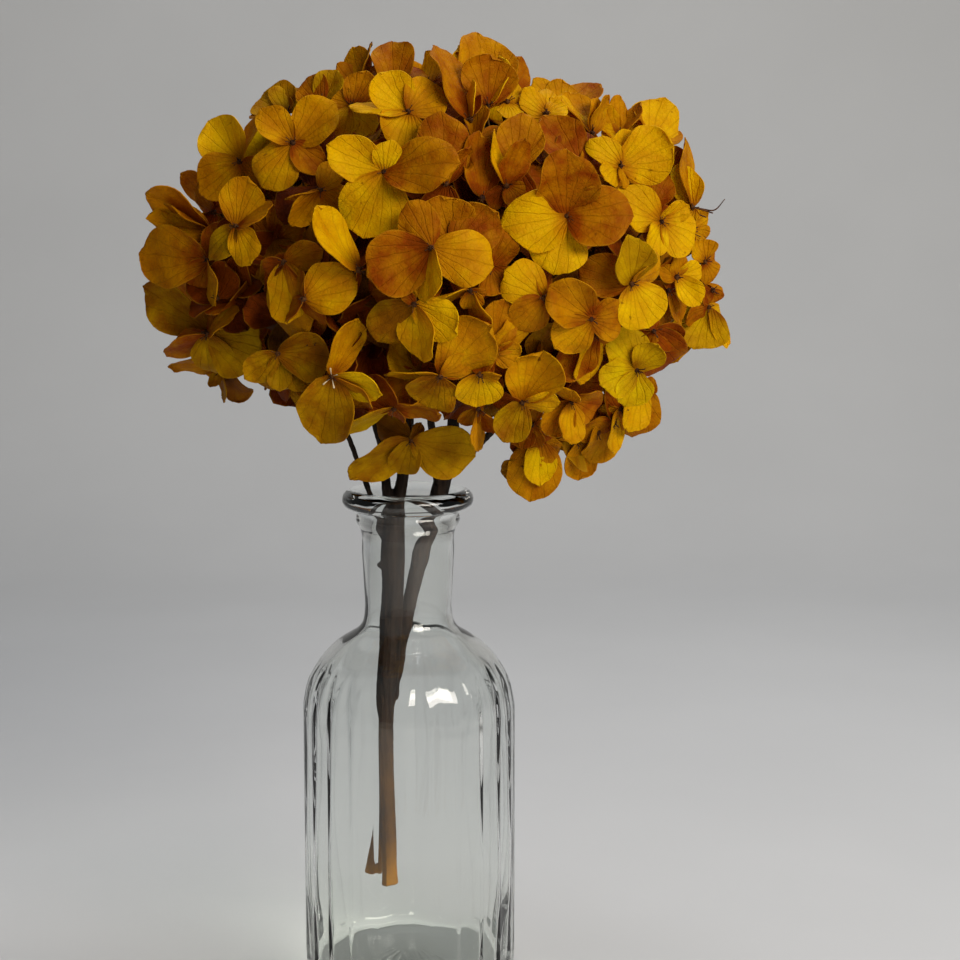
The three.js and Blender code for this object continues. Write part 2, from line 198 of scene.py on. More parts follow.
@dataclass(frozen=True)
class MouldedGlass(Finish):
    """Clear soda-lime glass from a mould.

    The eye gets sharp window reflections, dark refracted edges at the lip and along the flutes, and
    a faint waviness where the glass met the mould. Light passes to what stands behind it.
    """

    name: str = "soda_lime_glass_moulded"
    tint: str = "#f7f9f7"
    shade: str = "#eceeed"
    ior: float = 1.5
    mirror: float = 0.2
    roughness: float = 0.01
    ripple_mm: float = 14.0
    ripple_depth_mm: float = 0.05

    def surface(self, tree: bpy.types.NodeTree) -> Socket:
        """Builds glass that lets light through to cast soft shadows.

        Args:
            tree: The material's node tree.

        Returns:
            The surface socket.
        """
        place = add_node(tree, "TexCoord", output="Object")
        ripple = add_node(
            tree, "TexNoise", {"Vector": place, "Scale": 1 / (self.ripple_mm * MM), "Detail": 1.0}, "Fac"
        )
        bump = add_node(tree, "Bump", {"Height": ripple, "Distance": self.ripple_depth_mm * MM})
        glass = add_node(
            tree,
            "BsdfPrincipled",
            {
                "Base Color": linear(self.tint),
                "Roughness": self.roughness,
                "IOR": self.ior,
                "Specular IOR Level": self.mirror,
                "Transmission Weight": 1.0,
                "Normal": bump,
            },
        )
        clear = add_node(tree, "BsdfTransparent", {"Color": linear(self.shade)})
        is_shadow = add_node(tree, "LightPath", output="Is Shadow Ray")
        return add_node(tree, "MixShader", {0: is_shadow, 1: glass, 2: clear})


@dataclass(frozen=True)
class PreservedSepal(Finish):
    """Hydrangea sepals dyed amber and preserved with glycerine.

    They look papery and slightly waxy: fine darker veins fan out and net together, the margin is a
    thin paler line, and light from behind glows orange through them.
    """

    name: str = "preserved_sepal_dyed_amber"
    shaded: str = "#4a1600"
    dark: str = "#954300"
    middle: str = "#d08e00"
    bright: str = "#f4c800"
    vein: str = "#7a4200"
    margin: str = "#f0be20"
    spot: str = "#6a3500"
    glow: str = "#ee8a00"
    glow_share: float = 0.28
    roughness: float = 0.55
    gloss: float = 0.05
    # Where the dark and the middle colour lie between shaded and bright.
    dark_at: float = 0.3
    middle_at: float = 0.62
    # Turn from one fanning vein to the next, in radians, and how far behind the claw they meet.
    vein_spread: float = 0.21
    vein_start_mm: float = 1.5
    # Real veins are finer: they are drawn as coarse as they need to be to show.
    vein_width_mm: float = 0.2
    vein_strength: float = 0.11
    vein_depth: float = 0.6
    waver_mm: float = 5.0
    waver_reach_mm: float = 0.7
    net_mm: float = 1.5
    net_edge: Row = (0.02, 0.12)
    net_strength: float = 0.4
    # Hue turn of the olive sepals: partly their own hue, partly painted dull light, mostly low on the head
    # and on its left.
    olive_shift: float = 0.031
    mottle_mm: float = 6.0
    mottle_share: float = 0.6
    wrinkle_mm: float = 1.3
    relief_mm: float = 0.3
    margin_from: float = 0.93
    margin_share: float = 0.15
    spots_per_mm: float = 0.3
    spot_edge: Row = (0.7, 0.76)
    spot_share: float = 0.55

    def surface(self, tree: bpy.types.NodeTree) -> Socket:
        """Builds the sepal from the places in millimetres and the marks that its mesh carries.

        Args:
            tree: The material's node tree.

        Returns:
            The surface socket.
        """
        flat = add_node(tree, "UVMap", output="UV", uv_map="sepal_mm")
        marks = add_node(tree, "VertexColor", output="Color", layer_name="marks")
        tone = add_node(tree, "SeparateColor", {0: marks}, 0)
        seed = add_node(tree, "SeparateColor", {0: marks}, 1)
        rim = add_node(tree, "SeparateColor", {0: marks}, 2)
        shift = add_node(tree, "VectorMath", {0: (37.0, 91.0, 13.0), "Scale": seed}, operation="SCALE")
        place = add_node(tree, "VectorMath", {0: flat, 1: shift}, operation="ADD")
        veins = self._veins(tree, flat, place)
        mottling = {"Vector": place, "Scale": 1 / self.mottle_mm, "Detail": 3.0}
        mottle = add_node(tree, "TexNoise", mottling, "Fac")
        wrinkling = {"Vector": place, "Scale": 1 / self.wrinkle_mm, "Detail": 2.0}
        wrinkle = add_node(tree, "TexNoise", wrinkling, "Fac")
        share = {0: mottle, 1: self.mottle_share, 2: -0.5 * self.mottle_share}
        uneven = add_node(tree, "Math", share, operation="MULTIPLY_ADD")
        shade = add_node(tree, "Math", {0: tone, 1: uneven}, operation="ADD")
        ends = [(0.0, linear(self.shaded)), (1.0, linear(self.bright))]
        stops = ends + [(self.dark_at, linear(self.dark)), (self.middle_at, linear(self.middle))]
        dyed = add_node(tree, "ValToRGB", {"Fac": shade}, stops=stops)
        olive = add_node(tree, "VertexColor", output="Alpha", layer_name="marks")
        hue = add_node(tree, "Math", {0: olive, 1: self.olive_shift, 2: 0.5}, operation="MULTIPLY_ADD")
        body = add_node(tree, "HueSaturation", {"Color": dyed, "Hue": hue})
        veined_share = add_node(tree, "Math", {0: veins, 1: self.vein_strength}, operation="MULTIPLY")
        edge = {0: rim, 1: self.margin_from, 2: 1.0, 4: self.margin_share}
        edge_share = add_node(tree, "MapRange", edge, interpolation_type="SMOOTHSTEP")
        blotting = {"Vector": place, "Scale": self.spots_per_mm, "Detail": 2.0}
        blots = add_node(tree, "TexNoise", blotting, "Fac")
        spots = {0: blots, 1: self.spot_edge[0], 2: self.spot_edge[1], 4: self.spot_share}
        spot_share = add_node(tree, "MapRange", spots, interpolation_type="SMOOTHSTEP")
        colour = body
        for amount, code in ((veined_share, self.vein), (edge_share, self.margin), (spot_share, self.spot)):
            colour = add_node(tree, "Mix", {0: amount, 6: colour, 7: linear(code)}, 2, data_type="RGBA")
        relief = {0: veins, 1: -self.vein_depth, 2: wrinkle}
        height = add_node(tree, "Math", relief, operation="MULTIPLY_ADD")
        bump = add_node(tree, "Bump", {"Height": height, "Distance": self.relief_mm * MM})
        look = {"Roughness": self.roughness, "Specular IOR Level": self.gloss}
        paper = add_node(tree, "BsdfPrincipled", {"Base Color": colour, "Normal": bump, **look})
        warm = add_node(tree, "Mix", {0: 0.5, 6: colour, 7: linear(self.glow)}, 2, data_type="RGBA")
        through = add_node(tree, "BsdfTranslucent", {"Color": warm, "Normal": bump})
        return add_node(tree, "MixShader", {0: self.glow_share, 1: paper, 2: through})

    def _veins(self, tree: bpy.types.NodeTree, flat: Socket, place: Socket) -> Socket:
        """Veins that fan out from the claw, with a fine net between them.

        Args:
            tree: The material's node tree.
            flat: Place on the sepal in millimetres, across and along.
            place: The same place moved by the sepal's own draw.

        Returns:
            A socket that is 1 on a vein.
        """
        wavering = {"Vector": place, "Scale": 1 / self.waver_mm, "Detail": 2.0}
        waver = add_node(tree, "TexNoise", wavering, "Fac")
        x = add_node(tree, "SeparateXYZ", {0: flat}, "X")
        y = add_node(tree, "SeparateXYZ", {0: flat}, "Y")
        bend = {0: waver, 1: 2 * self.waver_reach_mm, 2: -self.waver_reach_mm}
        bent = add_node(tree, "Math", bend, operation="MULTIPLY_ADD")
        across = add_node(tree, "Math", {0: x, 1: bent}, operation="ADD")
        along = add_node(tree, "Math", {0: y, 1: self.vein_start_mm}, operation="ADD")
        angle = add_node(tree, "Math", {0: across, 1: along}, operation="ARCTAN2")
        reach = add_node(tree, "VectorMath", {0: flat}, "Value", operation="LENGTH")
        nearest = add_node(tree, "Math", {0: angle, 1: 0.5 * self.vein_spread}, operation="PINGPONG")
        off = add_node(tree, "Math", {0: nearest, 1: reach}, operation="MULTIPLY")
        fade = {0: off, 1: 0.25 * self.vein_width_mm, 2: 1.3 * self.vein_width_mm, 3: 1.0, 4: 0.0}
        main = add_node(tree, "MapRange", fade, interpolation_type="SMOOTHSTEP")
        netting = {"Vector": place, "Scale": 1 / self.net_mm}
        cells = add_node(tree, "TexVoronoi", netting, "Distance", feature="DISTANCE_TO_EDGE")
        thin = {0: cells, 1: self.net_edge[0], 2: self.net_edge[1], 3: self.net_strength, 4: 0.0}
        net = add_node(tree, "MapRange", thin, interpolation_type="SMOOTHSTEP")
        return add_node(tree, "Math", {0: main, 1: net}, operation="MAXIMUM")


@dataclass(frozen=True)
class WoodyBark(Finish):
    """Dry hydrangea bark: dull, ridged along the stem, with paler patches.

    Towards the cut end the dye that the stem drank shows through as gold.
    """

    name: str
    dark: str
    pale: str
    # Colour, the heights where it begins and where it is full, and strength: first the brown stain,
    # and then the gold dye below it.
    soaked: tuple[tuple[str, float, float, float], ...] = (
        ("#5c3d12", 108.0, 60.0, 1.5), ("#9c6a14", 56.0, 38.0, 1.9),
    )
    # Places of the dark, dark and pale colour over the ridges.
    ridge_stops: Row = (0.34, 0.78, 0.56)
    ridge_mm: float = 1.3
    ridge_stretch: float = 12.0
    ridge_depth_mm: float = 0.5
    patch_mm: float = 8.0
    roughness: float = 0.8
    gloss: float = 0.25

    def surface(self, tree: bpy.types.NodeTree) -> Socket:
        """Builds ridged bark whose lower end is stained by the dye.

        Args:
            tree: The material's node tree.

        Returns:
            The surface socket.
        """
        place = add_node(tree, "TexCoord", output="Object")
        fine = 1 / (self.ridge_mm * MM)
        stretch = (fine, fine, fine / self.ridge_stretch)
        drawn = add_node(tree, "Mapping", {"Vector": place, "Scale": stretch})
        ridges = add_node(tree, "TexNoise", {"Vector": drawn, "Scale": 1.0, "Detail": 5.0}, "Fac")
        patching = {"Vector": place, "Scale": 1 / (self.patch_mm * MM), "Detail": 3.0}
        patches = add_node(tree, "TexNoise", patching, "Fac")
        stops = list(zip(self.ridge_stops, [linear(code) for code in (self.dark, self.dark, self.pale)]))
        colour = add_node(tree, "ValToRGB", {"Fac": ridges}, stops=stops)
        height = add_node(tree, "SeparateXYZ", {0: place}, "Z")
        for code, top, full, strength in self.soaked:
            depth = add_node(tree, "MapRange", {0: height, 1: top * MM, 2: full * MM, 4: strength})
            share = add_node(tree, "Math", {0: depth, 1: patches}, operation="MULTIPLY", use_clamp=True)
            colour = add_node(tree, "Mix", {0: share, 6: colour, 7: linear(code)}, 2, data_type="RGBA")
        bump = add_node(tree, "Bump", {"Height": ridges, "Distance": self.ridge_depth_mm * MM})
        look = {"Roughness": self.roughness, "Specular IOR Level": self.gloss}
        return add_node(tree, "BsdfPrincipled", {"Base Color": colour, "Normal": bump, **look})


@dataclass(frozen=True)
class DryTissue(Finish):
    """Dull dried plant tissue, or matt paper: colour that drifts a little, with a fine grain."""

    name: str
    first: str
    second: str
    patch_mm: float = 3.0
    grain_mm: float = 0.5
    roughness: float = 0.8
    grain_depth_mm: float = 0.1
    gloss: float = 0.25

    def surface(self, tree: bpy.types.NodeTree) -> Socket:
        """Builds a matt surface with patches and grain.

        Args:
            tree: The material's node tree.

        Returns:
            The surface socket.
        """
        place = add_node(tree, "TexCoord", output="Object")
        patch_scale = 1 / (self.patch_mm * MM)
        grain_scale = 1 / (self.grain_mm * MM)
        patch = add_node(tree, "TexNoise", {"Vector": place, "Scale": patch_scale, "Detail": 3.0}, "Fac")
        grain = add_node(tree, "TexNoise", {"Vector": place, "Scale": grain_scale, "Detail": 2.0}, "Fac")
        stops = [(0.35, linear(self.first)), (0.65, linear(self.second))]
        colour = add_node(tree, "ValToRGB", {"Fac": patch}, stops=stops)
        bump = add_node(tree, "Bump", {"Height": grain, "Distance": self.grain_depth_mm * MM})
        look = {"Roughness": self.roughness, "Specular IOR Level": self.gloss}
        return add_node(tree, "BsdfPrincipled", {"Base Color": colour, "Normal": bump, **look})


@dataclass
class MeshParts:
    """Points and faces of one mesh while it is put together, in millimetres."""

    points: list[np.ndarray] = field(default_factory=list)
    faces: list[tuple[int, ...]] = field(default_factory=list)
    count: int = 0

    def add(self, points: np.ndarray, faces: Iterable[Sequence[int]]) -> None:
        """Adds a closed form.

        Args:
            points: Its points, one row each.
            faces: Its faces, counted from its own first point.
        """
        self.points.append(points)
        self.faces.extend(tuple(i + self.count for i in face) for face in faces)
        self.count += len(points)

    def to_object(self, name: str, material: bpy.types.Material, sharp: float = 180.0) -> bpy.types.Object:
        """Turns the parts into a smooth shaded object in the scene.

        Args:
            name: The object's name.
            material: Its material.
            sharp: Edges that turn by more than this many degrees stay sharp.

        Returns:
            The object.
        """
        mesh = bpy.data.meshes.new(name)
        mesh.from_pydata((np.concatenate(self.points) * MM).tolist(), [], self.faces)
        mesh.polygons.foreach_set("use_smooth", [True] * len(mesh.polygons))
        mesh.materials.append(material)
        mesh.update()
        if sharp < 180:
            mesh.set_sharp_from_angle(angle=sharp * DEGREE)
        obj = bpy.data.objects.new(name, mesh)
        bpy.context.scene.collection.objects.link(obj)
        return obj


def stack_faces(rings: int, around: int) -> list[tuple[int, ...]]:
    """Faces of a closed stack of rings whose first and last points close its ends.

    Args:
        rings: How many rings there are.
        around: How many points each ring has.

    Returns:
        Faces for the points: first end, the rings in order, last end.
    """
    last = 1 + rings * around
    faces: list[tuple[int, ...]] = []
    for i in range(around):
        j = (i + 1) % around
        faces.append((0, 1 + j, 1 + i))
        faces.append((last, last - around + i, last - around + j))
        for k in range(rings - 1):
            a = 1 + k * around
            faces.append((a + i, a + j, a + around + j, a + around + i))
    return faces


def smooth_line(points: Sequence[Row], steps: int) -> np.ndarray:
    """A smooth line through rows of numbers that doesn't swing past them.

    Args:
        points: Rows of a place and any values that change along with it.
        steps: Steps between one row and the next.

    Returns:
        The rows of the smooth line.
    """
    rows = np.array(points, float)
    runs = np.linalg.norm(np.diff(rows, axis=0), axis=1, keepdims=True)
    slopes = np.diff(rows, axis=0) / runs
    middle = (slopes[:-1] * runs[1:] + slopes[1:] * runs[:-1]) / (runs[:-1] + runs[1:])
    tangents = np.vstack([slopes[:1], middle, slopes[-1:]])
    t = (np.arange(steps) / steps)[:, None]
    out = []
    for i, run in enumerate(runs):
        ends = rows[i] * (1 - t) ** 2 * (1 + 2 * t) + rows[i + 1] * t**2 * (3 - 2 * t)
        out.append(ends + run * t * (1 - t) * (tangents[i] * (1 - t) - tangents[i + 1] * t))
    return np.vstack([*out, rows[-1:]])


def tube(line: np.ndarray, sides: int) -> tuple[np.ndarray, list[tuple[int, ...]]]:
    """A closed round tube.

    Args:
        line: Rows of x, y, z and radius.
        sides: Points round it.

    Returns:
        Its points and faces.
    """
    places = line[:, :3]
    along = np.gradient(places, axis=0)
    side = np.cross(along[0], (0.31, 0.87, 0.38))
    rings = []
    angles = 2 * math.pi * np.arange(sides) / sides
    for place, way, radius in zip(places, along, line[:, 3]):
        way = unit(way)
        side = unit(side - way * (side @ way))
        up = np.cross(way, side)
        rings.append(place + radius * (np.cos(angles)[:, None] * side + np.sin(angles)[:, None] * up))
    points = np.vstack([places[:1], *rings, places[-1:]])
    return points, stack_faces(len(line), sides)


@dataclass
class Vase:
    """The clear bottle: concave flutes with arched tops, a round shoulder, a collar bead and a thick lip."""

    finish: MouldedGlass
    flutes: int = 24
    points_per_flute: int = 12
    first_ridge: float = 87.0
    flute_depth: float = 0.7
    inner_share: float = 0.86
    flute_foot: Row = (3.0, 9.0)
    arch: Row = (96.0, 117.0)
    body_radius: float = 38.0
    outside: tuple[Row, ...] = (
        (32.5, 0.0), (35.0, 0.5), (36.8, 2.2), (37.7, 5.0), (38.0, 9.0), (38.0, 96.0), (37.9, 101.0),
        (37.3, 105.0), (36.4, 109.0), (34.8, 112.8), (32.4, 116.7), (29.2, 120.7), (25.2, 124.3),
        (21.0, 127.0), (18.0, 129.0), (16.3, 131.4), (15.6, 135.0), (15.8, 145.0), (16.4, 157.0),
        (16.8, 164.6), (17.4, 165.8), (18.1, 167.0), (18.4, 168.2), (18.3, 169.6), (18.0, 170.8),
        (18.0, 171.5), (18.8, 171.9), (20.6, 172.2), (22.3, 173.1), (23.2, 175.0), (22.9, 176.9),
        (21.7, 178.4), (19.9, 179.0), (18.2, 178.8),
    )
    inside: tuple[Row, ...] = (
        (16.6, 177.9), (15.4, 176.4), (14.4, 174.0), (13.8, 171.0), (13.4, 160.0), (13.1, 145.0),
        (13.1, 137.0), (13.6, 132.6), (15.4, 128.6), (19.6, 124.8), (24.4, 121.2), (28.6, 117.4),
        (31.8, 112.6), (33.9, 106.5), (35.0, 98.0), (35.2, 90.0), (35.2, 13.0), (34.6, 9.6), (32.8, 7.2),
        (29.0, 5.8), (22.0, 6.0), (12.0, 7.4), (5.0, 8.3),
    )
    middle_height: float = 8.5
    ring_steps: int = 4
    ring_gap: float = 4.0
    unevenness: float = 0.2
    # Waves of the uneven inside: lobes round it, rise for a radian, offset and strength.
    waves: tuple[Row, ...] = ((2, 21, 0, 1), (5, -13, 1, 1), (9, 17, 0, 0.7))

    def build(self) -> bpy.types.Object:
        """Builds the glass as one closed body.

        Returns:
            The bottle.
        """
        around = self.flutes * self.points_per_flute
        rings = [self._ring(r, z, around, 1.0, 0.0) for r, z in self._profile(self.outside)]
        inside = self._profile(self.inside)
        rings += [self._ring(r, z, around, self.inner_share, self.unevenness) for r, z in inside]
        parts = MeshParts()
        points = np.vstack([[(0, 0, 0)], *rings, [(0, 0, self.middle_height)]])
        parts.add(points, stack_faces(len(rings), around))
        obj = parts.to_object("vase_glass", self.finish.get())
        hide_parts("vase")
        return obj

    def _profile(self, corners: Sequence[Row]) -> np.ndarray:
        """Makes the profile smooth between its corners, and close where the flutes arch.

        Args:
            corners: Radius and height of each corner.

        Returns:
            Radius and height of each ring.
        """
        line = smooth_line(corners, self.ring_steps)
        line[:, 0] = np.minimum(line[:, 0], self.body_radius)
        rows = [line[0]]
        for before, row in zip(line, line[1:]):
            cuts = max(1, round(abs(row[1] - before[1]) / self.ring_gap))
            rows += [before + (row - before) * (k + 1) / cuts for k in range(cuts)]
        return np.array(rows)

    def _ring(self, radius: float, height: float, around: int, share: float, uneven: float) -> np.ndarray:
        """One ring of points, pressed in along the flutes.

        Args:
            radius: The ring's radius before the flutes.
            height: Its height.
            around: Points round it.
            share: How much of the flutes' depth reaches this surface.
            uneven: How far the glass wanders from its true form, as moulded glass does inside.

        Returns:
            The points of the ring.
        """
        step = 2 * math.pi / around
        angles = step * np.arange(around) + self.first_ridge * DEGREE
        off = 2 * (np.arange(around) % self.points_per_flute) / self.points_per_flute - 1
        low, high = self.arch
        rise = min(1.0, max(0.0, (height - low) / (high - low)))
        width = math.sqrt(1 - rise**2)
        start, full = self.flute_foot
        foot = min(1.0, max(0.0, (height - start) / (full - start)))
        bow = np.clip(1 - (off / max(width, 1e-3)) ** 2, 0, 1) ** (1 + rise)
        radii = radius - self.flute_depth * share * bow * foot * (1 - rise**3)
        wander = sum(
            strength * np.sin(lobes * angles + height / climb + start)
            for lobes, climb, start, strength in self.waves
        )
        radii = radii + uneven * min(1.0, radius / 30) * wander
        return np.stack([radii * np.cos(angles), radii * np.sin(angles), np.full(around, height)], axis=1)


@dataclass
class WoodyStem:
    """A forked stem with bark, knots and a cut lower end."""

    side: Side
    bark: WoodyBark
    branches: tuple[tuple[Row, ...], ...]
    knots: tuple[Row, ...]
    sides: int = 18
    steps: int = 14
    voxel_mm: float = 0.42
    ridge_mm: float = 0.24
    # Cells of noise for each millimetre, across and along the stem: long ridges and small bumps.
    ridge_cells: Row = (0.75, 0.06)
    bump_cells: Row = (1.7, 0.5)
    bump_share: float = 0.5
    # How far the ridges are sunk, so that the stem doesn't grow thicker.
    sunk: float = 0.5

    def build(self) -> bpy.types.Object:
        """Builds the stem: the branches grow together by remeshing, and then get their bark.

        Returns:
            The stem.
        """
        parts = MeshParts()
        for stations in self.branches:
            parts.add(*tube(smooth_line(stations, self.steps), self.sides))
        for x, y, z, radius in self.knots:
            line = [(x, y, z - radius * k, radius * math.cos(k * 1.45)) for k in np.linspace(-1, 1, 7)]
            parts.add(*tube(np.array(line), self.sides))
        obj = parts.to_object(f"stem_{self.side.value}_bark", self.bark.get())
        grow = obj.modifiers.new("grow_together", "REMESH")
        grow.mode = "VOXEL"
        grow.voxel_size = self.voxel_mm * MM
        self._apply(obj)
        self._roughen(obj.data)
        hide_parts(f"stem_{self.side.value}")
        return obj

    def _apply(self, obj: bpy.types.Object) -> None:
        """Keeps the mesh that the modifiers give, and drops the modifiers.

        Args:
            obj: The stem with its modifiers.
        """
        graph = bpy.context.evaluated_depsgraph_get()
        made = bpy.data.meshes.new_from_object(obj.evaluated_get(graph))
        made.materials.clear()
        made.materials.append(self.bark.get())
        obj.modifiers.clear()
        obj.data = made

    def _roughen(self, mesh: bpy.types.Mesh) -> None:
        """Presses long bark ridges and small bumps into the surface.

        Args:
            mesh: The stem's smooth mesh.
        """
        normals = [vertex.normal.copy() for vertex in mesh.vertices]
        (ridge_across, ridge_along), (bump_across, bump_along) = self.ridge_cells, self.bump_cells
        for vertex, normal in zip(mesh.vertices, normals):
            x, y, z = vertex.co / MM
            long = noise.noise(Vector((x * ridge_across, y * ridge_across, z * ridge_along)))
            fine = noise.noise(Vector((x * bump_across, y * bump_across, z * bump_along + 40)))
            vertex.co += normal * (long + self.bump_share * fine - self.sunk) * self.ridge_mm * MM
        mesh.polygons.foreach_set("use_smooth", [True] * len(mesh.polygons))
        mesh.update()


@dataclass(frozen=True)
class HeadShape:
    """The uneven ball that the two blooms fill together, and the line where they meet."""

    x: float = 8.0
    y: float = 0.0
    z: float = 252.0
    left: float = 82.0
    right: float = 90.0
    depth: float = 78.0
    up: float = 70.0
    down: float = 57.0
    # Keeps the florets at the rim a little in front of the ball's widest ring.
    rim_depth: float = 0.008
    parting: tuple[Row, ...] = (
        (30, 120), (30, 196), (24, 206), (30, 214), (37, 224), (34, 246), (33, 262), (21, 272), (17, 288),
        (24, 300), (28, 316), (28, 380),
    )

    def front_depth(self, x: float, z: float) -> float:
        """Depth of the head's front.

        Args:
            x: Place across.
            z: Height.

        Returns:
            The y of the front there.
        """
        across = (x - self.x) / (self.right if x > self.x else self.left)
        height = (z - self.z) / (self.up if z > self.z else self.down)
        return self.y - self.depth * math.sqrt(max(self.rim_depth, 1 - across**2 - height**2))

    def on_skin(self, way: np.ndarray, share: float = 1.0) -> np.ndarray:
        """The point of the ball's skin, or of a smaller ball inside it, that a direction meets."""
        reach = self._reach(way[None, :])[0]
        return np.array((self.x, self.y, self.z)) + share * way * reach

    def outwards(self, points: np.ndarray) -> np.ndarray:
        """Directions out of the head.

        Args:
            points: The points, one row each.

        Returns:
            A direction for each of them.
        """
        off = points - np.array((self.x, self.y, self.z))
        ways = off / self._reach(off) ** 2
        return ways / np.maximum(np.linalg.norm(ways, axis=1, keepdims=True), NEAR_ZERO)

    def side_of(self, place: np.ndarray) -> Side:
        """Which bloom a place belongs to."""
        xs, zs = zip(*self.parting)
        return Side.LEFT if place[0] < np.interp(place[2], zs, xs) else Side.RIGHT

    def _reach(self, off: np.ndarray) -> np.ndarray:
        """The ball's half sizes on the side where each offset points.

        Args:
            off: Offsets from the ball's centre, one row each.

        Returns:
            Three half sizes for each of them.
        """
        sizes = [
            np.where(off[:, 0] > 0, self.right, self.left),
            np.full(len(off), self.depth),
            np.where(off[:, 2] > 0, self.up, self.down),
        ]
        return np.stack(sizes, axis=1)


@dataclass
class Sepal:
    """One sepal: the directions along, across and square to it, its sizes and its bends."""

    along: np.ndarray
    across: np.ndarray
    face: np.ndarray
    length: float
    half: float
    rank: float
    seed: float
    tone: float
    liveliness: float = 1.1
    widest: float = 0.56
    # Bends, as shares of the length or of the half width: the first number of a pair is drawn, and
    # the second is the same on every sepal.
    curl: Row = (0.3, -0.02)
    cup: Row = (0.34, 0.12)
    twist: float = 0.3
    wave: Row = (0.05, 0.035)
    crease: Row = (0.05, 0.04)
    crease_width: float = 0.2
    tip: float = 0.3
    fold: float = 0.34
    fold_from: float = 0.35
    tip_from: float = 0.7
    # Height in millimetres of the coarse and of the fine crumples.
    crumples: Row = (0.2, 0.12)
    sheet: np.ndarray = field(default_factory=lambda: np.zeros((0, 0, 3)))

    def lay_out(self, base: np.ndarray, rows: int, columns: int) -> None:
        """Makes the sepal's middle sheet.

        Args:
            base: Where its claw starts.
            rows: Points along it.
            columns: Points across it.
        """
        s, w = self.outline(rows)
        t = np.linspace(-1, 1, columns)[None, :]
        n, k = self.seed, self.liveliness
        phase = 6.28 * draw(n, 1)
        wobble = 1 + 0.04 * np.sin(5 * s + phase) + 0.025 * np.sin(12 * s + 2 * phase + t)
        side = self.half * w * t * wobble
        out = self.length * s * (1 - 0.05 * t**2 + 0.05 * swing(n, 2) * t) * np.ones_like(t)
        out = out + 0.02 * self.length * draw(n, 3) * (1 - np.abs(t)) ** 2 * np.clip(s - 0.8, 0, 1) * 5
        curl = k * (self.curl[0] * swing(n, 4) + self.curl[1]) * self.length * s**2
        cup = k * (self.cup[0] * swing(n, 5) + self.cup[1]) * self.half * (w * t) ** 2
        twist = k * self.twist * swing(n, 6) * side * s
        ripple = np.sin(7 * s + 2.1 * t + phase)
        wave = k * (self.wave[1] + self.wave[0] * draw(n, 7)) * self.length * ripple
        groove = np.exp(-((t / self.crease_width) ** 2))
        crease = (self.crease[1] + self.crease[0] * draw(n, 8)) * self.length * groove * s * (1.15 - s)
        tip = k * self.tip * swing(n, 9) * self.length * np.clip(s - self.tip_from, 0, 1) ** 2 * 4
        over = np.clip(t * math.copysign(1, swing(n, 11)) - self.fold_from, 0, 1)
        fold = k * self.fold * max(0.0, swing(n, 10)) * self.half * over
        coarse = self.crumples[0] * np.sin(0.95 * side + phase) * np.sin(0.8 * out - phase)
        crumple = coarse + self.crumples[1] * np.sin(1.9 * out + side)
        height = curl + cup + twist + wave * np.abs(t) ** 1.5 * w - crease + tip + fold * w + crumple * s
        parts = (out[..., None] * self.along, side[..., None] * self.across, height[..., None] * self.face)
        self.sheet = base + sum(parts)

    def outline(self, rows: int) -> tuple[np.ndarray, np.ndarray]:
        """The outline of a sepal: a narrow claw, then a broad round blade.

        Args:
            rows: Points along it.

        Returns:
            Shares along the sepal, and the share of its half width at each.
        """
        inner = rows // 2
        low = np.linspace(0.0, self.widest, inner, endpoint=False)
        angles = np.linspace(0, math.pi / 2, rows - inner)
        high = self.widest + (1 - self.widest) * np.sin(angles)
        narrow = 0.12 + 0.88 * np.sin(low / self.widest * math.pi / 2) ** 0.62
        broad = np.maximum(np.cos(angles) ** 0.8, 0.09)
        return np.concatenate([low, high])[:, None], np.concatenate([narrow, broad])[:, None]


def facing(pan: float, tilt: float) -> np.ndarray:
    """The way that pan and tilt in degrees point: pan 0 looks to the front."""
    p, t = pan * DEGREE, tilt * DEGREE
    return np.array((math.sin(p) * math.cos(t), -math.cos(p) * math.cos(t), math.sin(t)))


